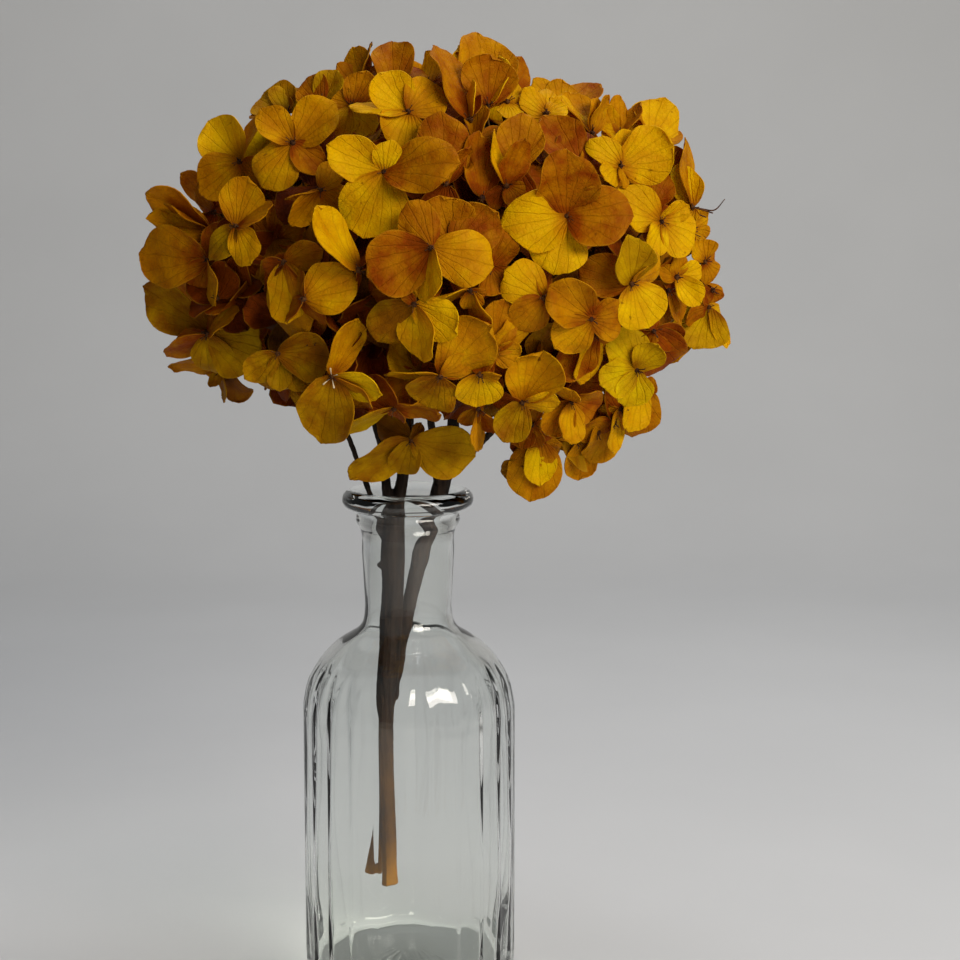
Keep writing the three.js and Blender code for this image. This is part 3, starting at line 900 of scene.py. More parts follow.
@dataclass
class Floret:
    """One flower of four sepals on its stalk."""

    centre: np.ndarray
    face: np.ndarray
    number: int
    rank: float
    tone: float
    rows: int = 15
    columns: int = 11
    width: float = 0.58
    # How far even sepals stray: turn, rise (and what all rise) and roll in degrees, and share of size.
    stray: Row = (9, 24, 10, 26, 0.12)
    # A sepal that the front view doesn't show: length, half width, rise, rank and tone below the rest; the
    # lower tone is painted shade, as it lies under the others.
    hidden: Row = (13.5, 7.0, -22, -5.0, 0.12)
    # Limits of a sepal that is worked out from the front view.
    steepest: float = 60.0
    longest: float = 28.0
    narrowest: float = 0.36
    broadest: float = 0.7
    # A sepal curves back a little, so that it looks shorter than it is.
    true_length: float = 1.04
    # How far behind or before the floret's plane the sepals lie.
    step: float = 0.3
    sepals: list[Sepal] = field(default_factory=list)

    def add_even(self, length: float, turn: float) -> None:
        """Adds four sepals at even angles, each a little off.

        Args:
            length: Length of a sepal.
            turn: Angle of the first one in degrees.
        """
        side, upright = plane_of(self.face)
        stray_turn, stray_rise, rise_all, stray_roll, stray_size = self.stray
        for j in range(4):
            n = self.number + 0.1 * j
            angle = (turn + 90 * j + stray_turn * swing(n, 1)) * DEGREE
            rise = (rise_all + stray_rise * swing(n, 2)) * DEGREE
            flat = math.cos(angle) * side + math.sin(angle) * upright
            along = math.cos(rise) * flat + math.sin(rise) * self.face
            reach = length * (1 + stray_size * swing(n, 3))
            half = reach * self.width * (1 + stray_size * swing(n, 4))
            tone = self.tone * math.copysign(1, draw(n, 6) - 0.3)
            self._add(along, reach, half, stray_roll * swing(n, 5) * DEGREE, 0.0, tone)

    def add_seen(self, sepals: Sequence[Row]) -> None:
        """Adds sepals as the front view shows them, and fills the widest gaps between them.

        Args:
            sepals: Angle, length and half width as seen, the rise in degrees out of the floret's
            plane, and the tone, partly the sepal's own dye and partly painted light and shade; a
            negative half width rolls the other edge to the front, and a negative tone is the same
            tone turned olive, partly the sepal's own hue and partly painted dull light.
        """
        for angle, length, half, rise, tone in sepals:
            self._add_one_seen(angle, length, half, rise, 0.0, tone)
        angles = sorted(row[0] % 360 for row in sepals) or [90 * draw(self.number, 12)]
        length, half, rise, rank, under_shade = self.hidden
        while len(self.sepals) < 4:
            gaps = [(b - a, a) for a, b in zip(angles, angles[1:] + [angles[0] + 360])]
            gap, start = max(gaps)
            middle = (start + gap / 2) % 360
            # Painted shade: a hidden sepal lies under the others, so its tone is lowered.
            self._add_one_seen(middle, length, half, rise, rank, self.tone - under_shade)
            angles = sorted(angles + [middle])

    def _add_one_seen(
        self, angle: float, length: float, half: float, rise: float, rank: float, tone: float
    ) -> None:
        """Adds one sepal whose direction, length and width are those that the front view shows.

        Args:
            angle: Its direction as seen, in degrees.
            length: Its length as seen.
            half: Its half width as seen; below 0 the other edge rolls to the front.
            rise: Degrees out of the floret's plane.
            rank: How far in front of the floret it counts.
            tone: Its tone.
        """
        seen = np.array((math.cos(angle * DEGREE), 0.0, math.sin(angle * DEGREE)))
        beside = np.array((-seen[2], 0.0, seen[0]))
        slope = math.atan(float(seen @ self.face) / self.face[1])
        steepest = self.steepest * DEGREE
        pitch = min(steepest, max(-steepest, slope + rise * DEGREE))
        along = seen * math.cos(pitch) - np.array((0.0, math.sin(pitch), 0.0))
        reach = min(self.longest, self.true_length * length / math.cos(pitch))
        across = unit(np.cross(self.face, along))
        flat, steep = float(across @ beside), float(np.cross(along, across) @ beside)
        open_share = math.hypot(flat, steep)
        wanted = abs(half) / max(abs(flat), 0.05)
        true_half = min(self.broadest * reach, max(self.narrowest * reach, wanted))
        roll = 0.0
        if abs(true_half * abs(flat) - abs(half)) > 0.4:
            away = math.acos(min(1.0, abs(half) / (true_half * open_share)))
            middle = math.atan2(steep, flat)
            turns = [math.remainder(middle + way * away, math.pi) for way in (-1, 1)]
            roll = min(turns, key=abs) if half > 0 else max(turns, key=abs)
        self._add(along, reach, true_half, roll, rank + 0.05 * rise, tone)

    def _add(
        self, along: np.ndarray, length: float, half: float, roll: float, rank: float, tone: float
    ) -> None:
        """Adds a sepal turned about its own axis by the roll.

        Args:
            along: The direction from its claw to its tip.
            length: Its length.
            half: Its half width.
            roll: The turn about its own axis, in radians.
            rank: How far in front of the floret it counts.
            tone: Its tone.
        """
        across = unit(np.cross(self.face, along))
        square = np.cross(along, across)
        turned = across * math.cos(roll) + square * math.sin(roll)
        face = square * math.cos(roll) - across * math.sin(roll)
        seed = self.number + 0.1 * len(self.sepals) + 0.03
        calm = 1.1 - 0.7 * abs(math.sin(roll))
        self.sepals.append(Sepal(along, turned, face, length, half, self.rank + rank, seed, tone, calm))

    def lay_out(self) -> None:
        """Makes the sheets of all sepals; opposite pairs lie one behind the other."""
        for j, sepal in enumerate(self.sepals):
            base = self.centre + self.face * (self.step if j % 2 else -self.step)
            sepal.lay_out(base, self.rows, self.columns)

    def shift(self, way: np.ndarray) -> None:
        """Moves the whole floret.

        Args:
            way: How far, and where to.
        """
        self.centre = self.centre + way
        for sepal in self.sepals:
            sepal.sheet = sepal.sheet + way


@dataclass
class FloretPlan:
    """Where every floret of the two blooms stands."""

    shape: HeadShape
    spiral_count: int = 90
    spiral_seed: int = 7
    spiral_length: float = 19.0
    spiral_spread: float = 18.4
    spiral_front: float = -0.12
    spiral_lowest: float = -0.7
    spiral_share: float = 0.94
    spiral_lean: float = 0.42
    spiral_first: int = 100
    # Share of the head's size, count, sepal length and first number of each inner layer.
    inner_layers: tuple[Row, ...] = ((0.84, 90, 15.5, 300), (0.66, 46, 15.0, 500))
    inner_lowest: float = -0.76
    inner_lean: float = 0.55
    inner_grid: tuple[int, int] = (8, 7)
    mouth_height: float = 206.0
    mouth_reach: float = 34.0
    # Centre x and z, lift, pan and tilt of the face, tone, and the sepals as seen from the front:
    # angle, length, half width, rise and tone. A tone is partly the sepal's own dye and partly painted
    # light and shade: lighter where the front view shows the sepal lit, darker where it lies in shade.
    front: tuple[tuple, ...] = (
        (-54.8, 292.3, 2, -12, 10, 0.68, ((130, 18.2, 8.3, 0, 0.8), (214, 16.8, 7.8, 0, 0.62),
         (69, 17.5, 1.8, 10, 0.6))),
        (-36, 297.7, 3, -8, 12, 0.62, ((230, 15.6, 8.1, 12, 0.72), (133, 14.6, 5.7, 10, 0.58),
         (43, 18.1, 7.3, 0, 0.64), (316, 13.1, 5.2, -10, 0.38))),
        (-54.4, 271.8, 2, -15, 0, 0.5, ((77, 15.3, 7.4, 0, 0.6), (295, 13.2, 5.5, 8, 0.68),
         (34, 13.3, 2.3, 20, 0.52), (229, 13.8, 4.5, -5, -0.42))),
        (-65.1, 269.9, 0, -25, 5, 0.4, ((144, 23.3, 6, 5, 0.5), (173, 20.3, 7.3, 5, 0.62),
         (150, 17.2, 1.3, 20, 0.42))),
        (-65.4, 260.6, 1, -18, -5, 0.35, ((177, 26.1, 10.1, 0, 0.5), (279, 14.4, 1.7, 20, 0.56),
         (236, 10, 5, -15, 0.36))),
        (-68.2, 235.8, -1, -23, -15, 0.38, ((142, 24.4, 8.5, 0, -0.4), (69, 10.2, 2.2, 25, 0.4),
         (206, 10.9, 3.4, -10, 0.4))),
        (-65.8, 236.3, 3, -12, -10, 0.46, ((344, 17.1, 12.1, 5, -0.52), (278, 14.5, 7.4, 0, -0.5),
         (48, 12.6, 1.7, 20, 0.56), (210, 16.2, 3.4, -10, 0.42))),
        (-64.3, 221.7, -1, -20, -50, 0.32, ((302, 10.6, 3.5, -20, -0.32), (268, 10.4, 1.4, 0, -0.34),
         (231, 7.6, 1.7, 35, -0.36), (162, 16.7, 2.8, 0, 0.44))),
        (-41.3, 231.7, 1, -5, -15, 0.34, ((251, 14.2, 9.3, -5, -0.44), (1, 17, 7.9, 0, -0.38),
         (312, 13.4, 4.8, -10, -0.34), (217, 13.3, 4.8, 0, -0.42), (273, 10.6, 4.2, -6, -0.4))),
        (-31.6, 249.5, 3, -10, 0, 0.4, ((24, 16.2, 8.5, 5, 0.62), (99, 8.5, 1.3, -30, 0.4),
         (301, 9.9, 2.8, -35, 0.28), (227, 8.3, 2.2, -35, 0.28))),
        (-27, 282, -4, 0, -20, 0.55, ((230, 14.5, 4.2, 5, 0.55), (195, 11.5, 1.2, -10, 0.55),
         (330, 12, 5, -20, 0.55), (60, 10, 4, -25, 0.55))),
        (-15.1, 258.6, 0, 8, 10, 0.35, ((128, 22.6, 3.7, 10, 0.8), (259, 9.5, 1.6, -40, 0.3),
         (22, 6.7, 1.6, -40, 0.3), (51, 11.9, 1.6, -40, 0.3))),
        (-6.5, 288.4, 4, -5, 5, 0.7, ((156, 18.3, 7.2, 5, 0.84), (252, 20.4, 11.3, 5, 0.76),
         (80, 8.9, 4.7, 25, 0.78), (12, 20.5, 7.4, 28, 0.42))),
        (0.7, 306.6, 7, 0, 10, 0.6, ((129, 13.9, 7.1, -5, 0.82), (39, 13.2, 7.5, -2, 0.66),
         (248, 10.1, 7.4, 22, 0.72), (170, 17.9, 2.2, 5, 0.76))),
        (-3.9, 316.7, 0, 0, 35, 0.4, ((92, 15.2, 7.3, 0, 0.42), (47, 12.6, 4.3, -5, 0.36),
         (137, 10.7, 3.3, -10, 0.4), (90, 5.3, 1.7, -12, 0.4))),
        (-14.9, 316.4, 0, -10, 30, 0.42, ((97, 13.4, 5.2, -5, 0.6), (85, 15.7, 1.2, 10, -0.3),
         (137, 9.6, 4.3, -10, 0.46), (94, 4.6, 1.3, -12, 0.4))),
        (-28.6, 311.8, 0, -20, 30, 0.34, ((59, 11.7, 4.7, 0, -0.42), (120, 9.2, 6.2, 0, 0.36),
         (180, 8.7, 5, -10, 0.4), (53, 3.3, 1.3, -12, 0.4))),
        (6.8, 318.1, -1, 5, 35, 0.5, ((92, 11.3, 5.6, 0, 0.62), (126, 9, 3.3, 0, 0.45),
         (52, 10.1, 3.3, -5, 0.4), (76, 2.1, 1.3, -12, 0.4))),
        (26.4, 309.3, 2, 5, 25, 0.5, ((99, 25, 9.1, -8, 0.56), (89, 15.3, 9.1, 20, 0.48),
         (113, 21.2, 5.8, -3, 0.84), (73, 15.6, 4.2, -3, 0.84))),
        (20.7, 304.7, 2, -5, 20, 0.4, ((110, 29, 6.4, 5, 0.44), (89, 12.3, 1.4, 10, 0.8),
         (177, 4.5, 1.9, -20, 0.3), (63, 8.1, 1.9, -12, 0.36))),
        (33.2, 311.9, 0, 15, 25, 0.45, ((72, 15.6, 5.9, 0, 0.4), (64, 6.6, 3.9, 5, 0.74),
         (41, 9.1, 3.6, -5, 0.62), (109, 9.1, 3, -5, 0.5), (285, 6.1, 4.3, 5, 0.76))),
        (12.7, 285.4, -3, 5, 5, 0.34, ((92, 20.6, 8.4, 15, 0.4), (76, 7.7, 2.2, 30, 0.5),
         (62, 13.4, 3.1, 10, 0.36))),
        (23.8, 281.3, -4, 0, 8, 0.3, ((92, 20, 5.3, 5, 0.4), (115, 13.1, 3.4, -20, 0.32),
         (69, 16, 3.7, -20, 0.32))),
        (31.6, 284.8, -2, 5, 10, 0.4, ((101, 17.3, 2.8, 10, 0.74), (72, 15.2, 4.6, 20, 0.42),
         (228, 8.4, 3.1, 0, 0.32), (315, 6.2, 4.4, 5, 0.4))),
        (35.1, 291.3, -2, 8, 15, 0.4, ((83, 16, 7.3, 20, 0.46), (58, 14.3, 4.7, 5, 0.5),
         (110, 10.1, 3.2, 5, 0.44))),
        (49.3, 275.2, 5, 8, 0, 0.6, ((93, 20.2, 10.1, 30, 0.4), (190, 18.3, 9.5, 10, 0.86),
         (257, 17.9, 9.2, 12, 0.78), (360, 17.7, 9.8, 30, 0.36))),
        (46.1, 308.1, 0, 8, 25, 0.5, ((138, 10.7, 4.6, 10, 0.74), (86, 9.9, 4.3, 0, 0.74),
         (209, 5.3, 3.6, -10, 0.56), (27, 7.3, 3.6, 10, 0.76))),
        (61.6, 301.8, 0, 10, 22, 0.55, ((137, 17.5, 4.6, 10, 0.74), (118, 15.7, 4.3, -10, 0.6),
         (72, 13.2, 2.7, 5, 0.56), (75, 11.6, 3.3, 10, 0.6))),
        (73, 302.1, 0, 15, 20, 0.55, ((137, 11.7, 4.5, 15, 0.66), (86, 13.1, 4.5, 5, 0.6),
         (51, 12.9, 2.1, 20, 0.46), (194, 6.8, 4.1, 10, 0.66))),
        (56.9, 291.1, -4, 8, 10, 0.3, ((98, 14, 7.1, -5, 0.24), (125, 20.1, 6.3, -10, 0.36),
         (35, 10.2, 3.9, -10, 0.4))),
        (68.3, 290.5, 4, 20, 8, 0.7, ((21, 17.2, 9.7, 5, 0.8), (133, 11.2, 4.6, 12, 0.8),
         (216, 8.9, 4.3, 10, 0.74), (280, 7.3, 1.6, 0, 0.6), (68, 12.1, 5.6, -4, 0.78))),
        (83.7, 298.4, 0, 25, 20, 0.6, ((72, 16.6, 9.4, -5, 0.78), (99, 13.9, 2.1, 0, 0.5),
         (28, 11.7, 2.7, -10, 0.6))),
        (82.1, 277.5, -4, 25, 0, 0.35, ((107, 9, 2.3, -5, 0.7), (71, 12.5, 5.6, 0, 0.4),
         (171, 6, 2.3, -10, 0.35))),
        (97.8, 277.3, 3, 6, 5, 0.5, ((106, 14.9, 5.2, 4, 0.84), (99, 22.8, 3.4, -5, 0.56),
         (278, 4.4, 2.1, -8, 0.5), (249, 5.9, 2.8, 5, 0.7))),
        (82.3, 272.7, 3, 25, 5, 0.7, ((148, 16.3, 7.3, 5, 0.8), (329, 13.5, 8.1, 10, 0.82),
         (32, 9.8, 3.6, 5, 0.72), (251, 11.2, 4.3, 15, 0.82))),
        (70.2, 253.9, 4, 22, -5, 0.6, ((94, 14.5, 6.8, 20, -0.5), (295, 15, 8.8, 10, 0.86),
         (161, 15.4, 7.1, -10, 0.46), (31, 13.8, 4.2, -10, 0.62))),
        (57.7, 243.3, 3, 12, -10, 0.6, ((142, 17.7, 8, 5, 0.58), (218, 14.1, 7.2, -10, 0.62),
         (356, 12.5, 7.3, 20, 0.46), (72, 7, 2.2, -10, 0.36))),
        (89, 254.8, 1, 30, -5, 0.5, ((18, 9.8, 3.7, 10, 0.82), (307, 11.2, 4.2, 15, 0.84),
         (74, 7.3, 3.3, 20, 0.6), (161, 7.4, 3, -10, 0.5))),
        (102.9, 258.8, 0, 30, 8, 0.4, ((304, 7.5, 4.2, 0, 0.44), (111, 7.8, 4.5, 0, 0.6),
         (275, 8, 3.8, -20, 0.4), (34, 5, 2.8, -20, 0.5))),
        (105.8, 249.1, 0, 30, 0, 0.38, ((80, 8.5, 4.2, 0, 0.4), (215, 5.9, 3.5, -10, 0.36),
         (294, 5.3, 3.1, -10, 0.4), (12, 3.6, 2.1, -20, 0.4))),
        (103.1, 244.3, 3, 25, -15, 0.38, ((117, 6.5, 1.4, -12, 0.4), (252, 14.3, 11.1, 0, -0.52),
         (300, 15.7, 3.6, -10, 0.86), (203, 10, 3.5, -12, 0.36))),
        (26.5, 258.6, -5, 5, -5, 0.4, ((68, 13.4, 6.2, 0, 0.42), (300, 8.6, 6.2, 10, 0.42),
         (253, 10.4, 3.1, 10, 0.4))),
        (7.9, 265.5, 5, -4, 0, 0.5, ((343, 18.4, 8.7, 5, 0.68), (204, 20, 9.9, -8, 0.34),
         (118, 14.7, 6.5, 10, 0.42), (262, 15.9, 2.8, 22, 0.76))),
        (1, 253.7, -3, 0, -10, 0.4, ((114, 7.5, 4, 0, 0.42), (277, 5, 2.8, -10, 0.5),
         (356, 9.3, 3.7, -20, 0.36))),
        (19.4, 253.4, 2, 5, -25, 0.45, ((192, 15.2, 1.7, -5, 0.74), (280, 6.9, 3.7, 5, 0.5),
         (294, 13.6, 2.2, 10, 0.62), (339, 5.3, 1.9, 0, 0.4))),
        (2.4, 248.8, 2, -5, -15, 0.5, ((228, 16.3, 8.7, -10, -0.34), (328, 15.3, 6.8, -3, 0.84),
         (280, 17.6, 4.7, 0, 0.66), (126, 5.3, 1.9, -15, 0.4))),
        (10.1, 226.3, 3, 5, -20, 0.5, ((46, 21.9, 8.7, 5, 0.56), (250, 11.1, 10.4, -12, -0.42),
         (176, 16.8, 1.4, -30, 0.76), (25, 10.4, 3.2, 10, 0.6))),
        (27.2, 232.2, -2, 10, -10, 0.5, ((75, 16.4, 6.9, 10, 0.5), (40, 14.7, 4.7, 0, 0.6),
         (351, 8.2, 4.7, -10, 0.6))),
        (22.7, 227.3, 3, 5, -30, 0.6, ((267, 11.1, 7.6, 10, 0.82), (6, 6.4, 1.6, 10, 0.6),
         (194, 13, 1.4, -25, 0.6))),
        (36.9, 215.9, 2, 5, -15, 0.5, ((71, 17.9, 9.1, 0, 0.64), (357, 11.7, 3.2, 10, 0.76),
         (243, 13, 6.2, -5, -0.46), (180, 10.4, 2.9, -20, 0.34))),
        (62.8, 236.1, -6, 15, -15, 0.4, ((251, 17, 4.5, -12, 0.8), (225, 18.6, 6.3, -15, 0.4),
         (300, 8.9, 4.5, -15, 0.4))),
        (74.3, 225.2, 4, 22, -12, 0.6, ((112, 13.3, 8, 5, -0.58), (200, 12.5, 6.2, 5, -0.66),
         (259, 12.2, 6, 10, -0.7), (60, 10.7, 5, 6, -0.56))),
        (80.9, 237.6, 1, 20, -15, 0.34, ((294, 16.7, 8.9, -8, 0.26), (247, 11.2, 4, -10, 0.4),
         (340, 10.8, 5, -8, 0.26), (96, 6.6, 2.6, -20, 0.3))),
        (53.5, 215.5, 2, 10, -25, 0.5, ((231, 13.1, 5.6, 0, 0.52), (266, 13.5, 4, 15, 0.6),
         (344, 10.6, 5.9, 5, 0.44), (123, 6.7, 3, 40, 0.6))),
        (81.4, 215.6, 1, 20, -25, 0.45, ((252, 15.4, 5.6, 15, 0.8), (268, 18.5, 5.9, -5, 0.44),
         (158, 3.7, 2.4, 10, 0.6), (36, 4.8, 2.8, -15, 0.4))),
        (73.6, 209.4, 2, 18, -35, 0.5, ((257, 15.7, 3.1, 20, 0.72), (213, 7.6, 2.8, 0, 0.5),
         (319, 6.4, 2.8, 0, 0.6))),
        (46, 197.9, 2, 5, -20, 0.5, ((271, 16.1, 5.9, 15, 0.9), (262, 21.9, 9.8, 5, 0.52),
         (228, 10.4, 4.2, -15, 0.36), (312, 10.4, 4.9, -12, 0.44))),
        (29.8, 214.4, -4, 0, -40, 0.32, ((235, 9.5, 4.2, -10, -0.34), (271, 14.9, 5.5, -10, -0.36))),
        (1.2, 201.3, 2, 0, -15, 0.4, ((213, 23.5, 7, -5, -0.46), (341, 22.3, 8.9, -5, -0.52),
         (159, 13, 6.4, -20, -0.3), (60, 6.6, 2, -12, -0.2), (252, 14.1, 5.7, -8, -0.44))),
        (22.9, 213.4, 0, 8, -42, 0.4, ((270, 14.2, 1.9, 5, 0.6), (296, 8.7, 3.2, -10, 0.36),
         (225, 7.3, 2.6, -10, 0.36))),
        (-4.3, 215.3, 2, 0, -42, 0.5, ((210, 20.5, 2.1, 0, -0.6), (6, 14.3, 2.9, 0, 0.42),
         (291, 5.5, 2.3, -10, 0.3), (137, 12.3, 6.8, -20, 0.34))),
        (-23.5, 225.9, 4, -5, -15, 0.45, ((259, 22.7, 9.6, 0, -0.46), (341, 16.2, 3.5, 5, 0.88),
         (71, 19.6, 5.4, -10, 0.66), (313, 15.8, 4.5, -15, 0.48))),
        (-31.4, 234.9, -6, -10, -8, 0.4, ((90, 10.2, 4.8, 0, 0.42), (293, 8.2, 3.5, 5, 0.5),
         (148, 6, 2.2, 5, 0.36))),
        (-8, 233, -15, 0, -20, 0.35, ((80, 12, 6, 5, 0.35), (190, 12, 6, -10, 0.35),
         (248, 17.5, 6.6, -8, 0.3))),
        (-40.4, 309.6, -1, -18, 28, 0.36, ((139, 10.8, 9, 0, -0.4), (74, 9.9, 7.5, 0, -0.42),
         (187, 12.3, 2.7, -10, 0.5), (82, 4.8, 1.4, -12, 0.4))),
        (-17.3, 309.8, 2, -5, 15, 0.5, ((249, 9.1, 4.2, 15, 0.66), (308, 10.7, 4.2, 10, 0.7),
         (158, 7, 5.4, 0, 0.44), (65, 10.8, 5.5, -5, 0.5))),
        (14.3, 266, -2, 5, 0, 0.4, ((104, 15.3, 9, 0, 0.44), (36, 16.8, 8.1, 10, 0.42),
         (290, 16.5, 5.3, -20, 0.34))),
        (-55.6, 259.6, -7, -12, -20, 0.25, ((251, 14.3, 5.5, 0, 0.24), (318, 9.6, 4.2, -15, 0.24))),
        (-63, 248, -2, -20, 0, 0.2, ((70, 12.3, 5.7, 0, 0.28), (200, 10, 4, -30, 0.2))),
        (21.7, 299.2, -3, 0, 15, 0.5, ((100, 14.2, 2.2, 5, 0.5), (74, 11.3, 2.5, 10, 0.52),
         (257, 5.8, 2.5, -20, 0.34))),
        (87.7, 249.8, -2, 25, -18, 0.45, ((264, 13.4, 4.3, 0, 0.5), (306, 12.4, 5, -10, 0.46),
         (180, 5.9, 3.3, -10, 0.46))),
        (72.5, 202.4, 1, 18, -32, 0.5, ((249, 17.2, 5.2, 0, 0.56), (195, 13, 4.2, -20, 0.42),
         (297, 7.8, 2.4, -10, 0.5))),
        (66.8, 199.1, -1, 12, -35, 0.4, ((251, 17.4, 7.7, -5, 0.56), (218, 16.9, 7, -10, 0.48),
         (294, 12, 4.5, -6, 0.74))),
        (-38.5, 260.9, 1, -8, -5, 0.4, ((275, 18.7, 6, 5, 0.7), (266, 25, 6.3, -5, 0.54),
         (17, 12.6, 4.6, -5, 0.5), (200, 7.4, 3.2, -20, 0.3))),
        (-66.1, 276.4, -4, -18, 5, 0.42, ((128, 16.3, 4.4, 0, 0.54), (131, 9.8, 2.4, 20, 0.5),
         (41, 11.4, 3.4, -15, 0.34), (249, 8.6, 3.7, -15, 0.34))),
        (52.8, 310.3, -2, 8, 25, 0.5, ((90, 10.1, 5.7, 0, 0.66), (37, 16.3, 4.5, 0, 0.46),
         (135, 13.3, 4.7, -5, 0.74), (265, 8.1, 4, -15, 0.4))),
        (99.3, 269.1, -2, 35, 0, 0.6, ((45, 8.8, 3.8, 0, 0.72), (311, 8.3, 5.9, -3, 0.7),
         (111, 9.6, 2.8, 0, 0.6), (258, 9.9, 3.1, -15, 0.5))),
        (93.9, 287.2, -3, 15, 5, 0.5, ((103, 12, 4.5, 0, 0.5), (75, 10.7, 3.4, 0, 0.56),
         (245, 11.4, 4.5, -5, 0.4), (256, 5.7, 2.1, -12, 0.5))),
        (43, 249.7, 0, 8, -5, 0.55, ((145, 14.6, 7.7, 5, 0.82), (231, 12.9, 6.6, 0, 0.54),
         (84, 11.3, 3.1, -20, 0.3), (355, 7, 3.1, -20, 0.24))),
        (59.7, 194.8, -4, 8, -25, 0.4, ((236, 10.6, 7.2, 0, -0.44), (293, 11.8, 5.8, -5, -0.42),
         (191, 10.7, 5.2, -10, 0.38), (0, 9.1, 5.2, -5, 0.4))),
        (43.1, 201.9, -5, 5, -20, 0.36, ((222, 9, 5.5, -5, 0.38), (319, 9.2, 5.5, -5, 0.38),
         (98, 9.1, 5.1, -10, 0.4), (271, 9.5, 4.4, -5, 0.36))),
        (40.8, 187.4, -1, 0, -20, 0.3, ((200, 8.2, 4.6, 0, -0.34), (243, 7.9, 3.9, -10, -0.32),
         (318, 7.4, 3.5, -10, 0.36))),
    )

    def all(self) -> list[Floret]:
        """Lays out every floret, from those that the front shows to the ones deep inside.

        Returns:
            The florets, with their sheets laid out.
        """
        florets = self._front_florets()
        self._add_spiral(florets)
        for layer in self.inner_layers:
            self._add_inner(florets, layer)
        for floret in florets:
            floret.lay_out()
        return florets

    def _front_florets(self) -> list[Floret]:
        """Makes the florets that the front shows.

        Returns:
            The florets.
        """
        florets = []
        for number, (x, z, lift, pan, tilt, tone, sepals) in enumerate(self.front):
            face = facing(pan, tilt)
            centre = np.array((x, self.shape.front_depth(x, z), z)) + face * lift
            floret = Floret(centre, face, number, 10.0 + lift, tone)
            floret.add_seen(sepals)
            florets.append(floret)
        return florets

    def _add_spiral(self, florets: list[Floret]) -> None:
        """Adds the florets round the sides, the back and the underside.

        Args:
            florets: The florets so far; the new ones keep clear of them.
        """
        for k, way in golden_ways(self.spiral_count):
            if way[1] < self.spiral_front or way[2] < self.spiral_lowest:
                continue
            centre = self.shape.on_skin(way, self.spiral_share - 0.1 * max(0.0, way[2]) ** 2)
            if any(np.linalg.norm(other.centre - centre) < self.spiral_spread for other in florets):
                continue
            seed = self.spiral_seed + k
            face = unit(way + swings(seed, self.spiral_lean))
            tone = 0.6 + 0.28 * swing(seed, 6)
            floret = Floret(centre, face, self.spiral_first + k, 6 + 3 * draw(seed, 8), tone)
            floret.add_even(self.spiral_length * (1 + 0.1 * swing(seed, 4)), 90 * draw(seed, 5))
            florets.append(floret)

    def _add_inner(self, florets: list[Floret], layer: Row) -> None:
        """Adds florets deeper in the head, which close the gaps between the outer ones; their dark tone is
        painted shade.

        Args:
            florets: The florets so far.
            layer: A row of inner_layers.
        """
        share, count, length, first = layer
        for k, way in golden_ways(int(count)):
            seed = int(first) + k
            face = unit(way + swings(seed, self.inner_lean))
            centre = self.shape.on_skin(way, share * (1 + 0.05 * swing(seed, 9)))
            if centre[2] < self.mouth_height and math.hypot(centre[0], centre[1]) < self.mouth_reach:
                continue
            if way[2] < self.inner_lowest:
                continue
            # Painted shade: the inner florets get a dark tone, for the shade deep in the head.
            tone = 0.22 + 0.2 * swing(seed, 6)
            floret = Floret(centre, face, seed, share + 0.01 * draw(seed, 8), tone, *self.inner_grid)
            floret.add_even(length, 90 * draw(seed, 5))
            florets.append(floret)


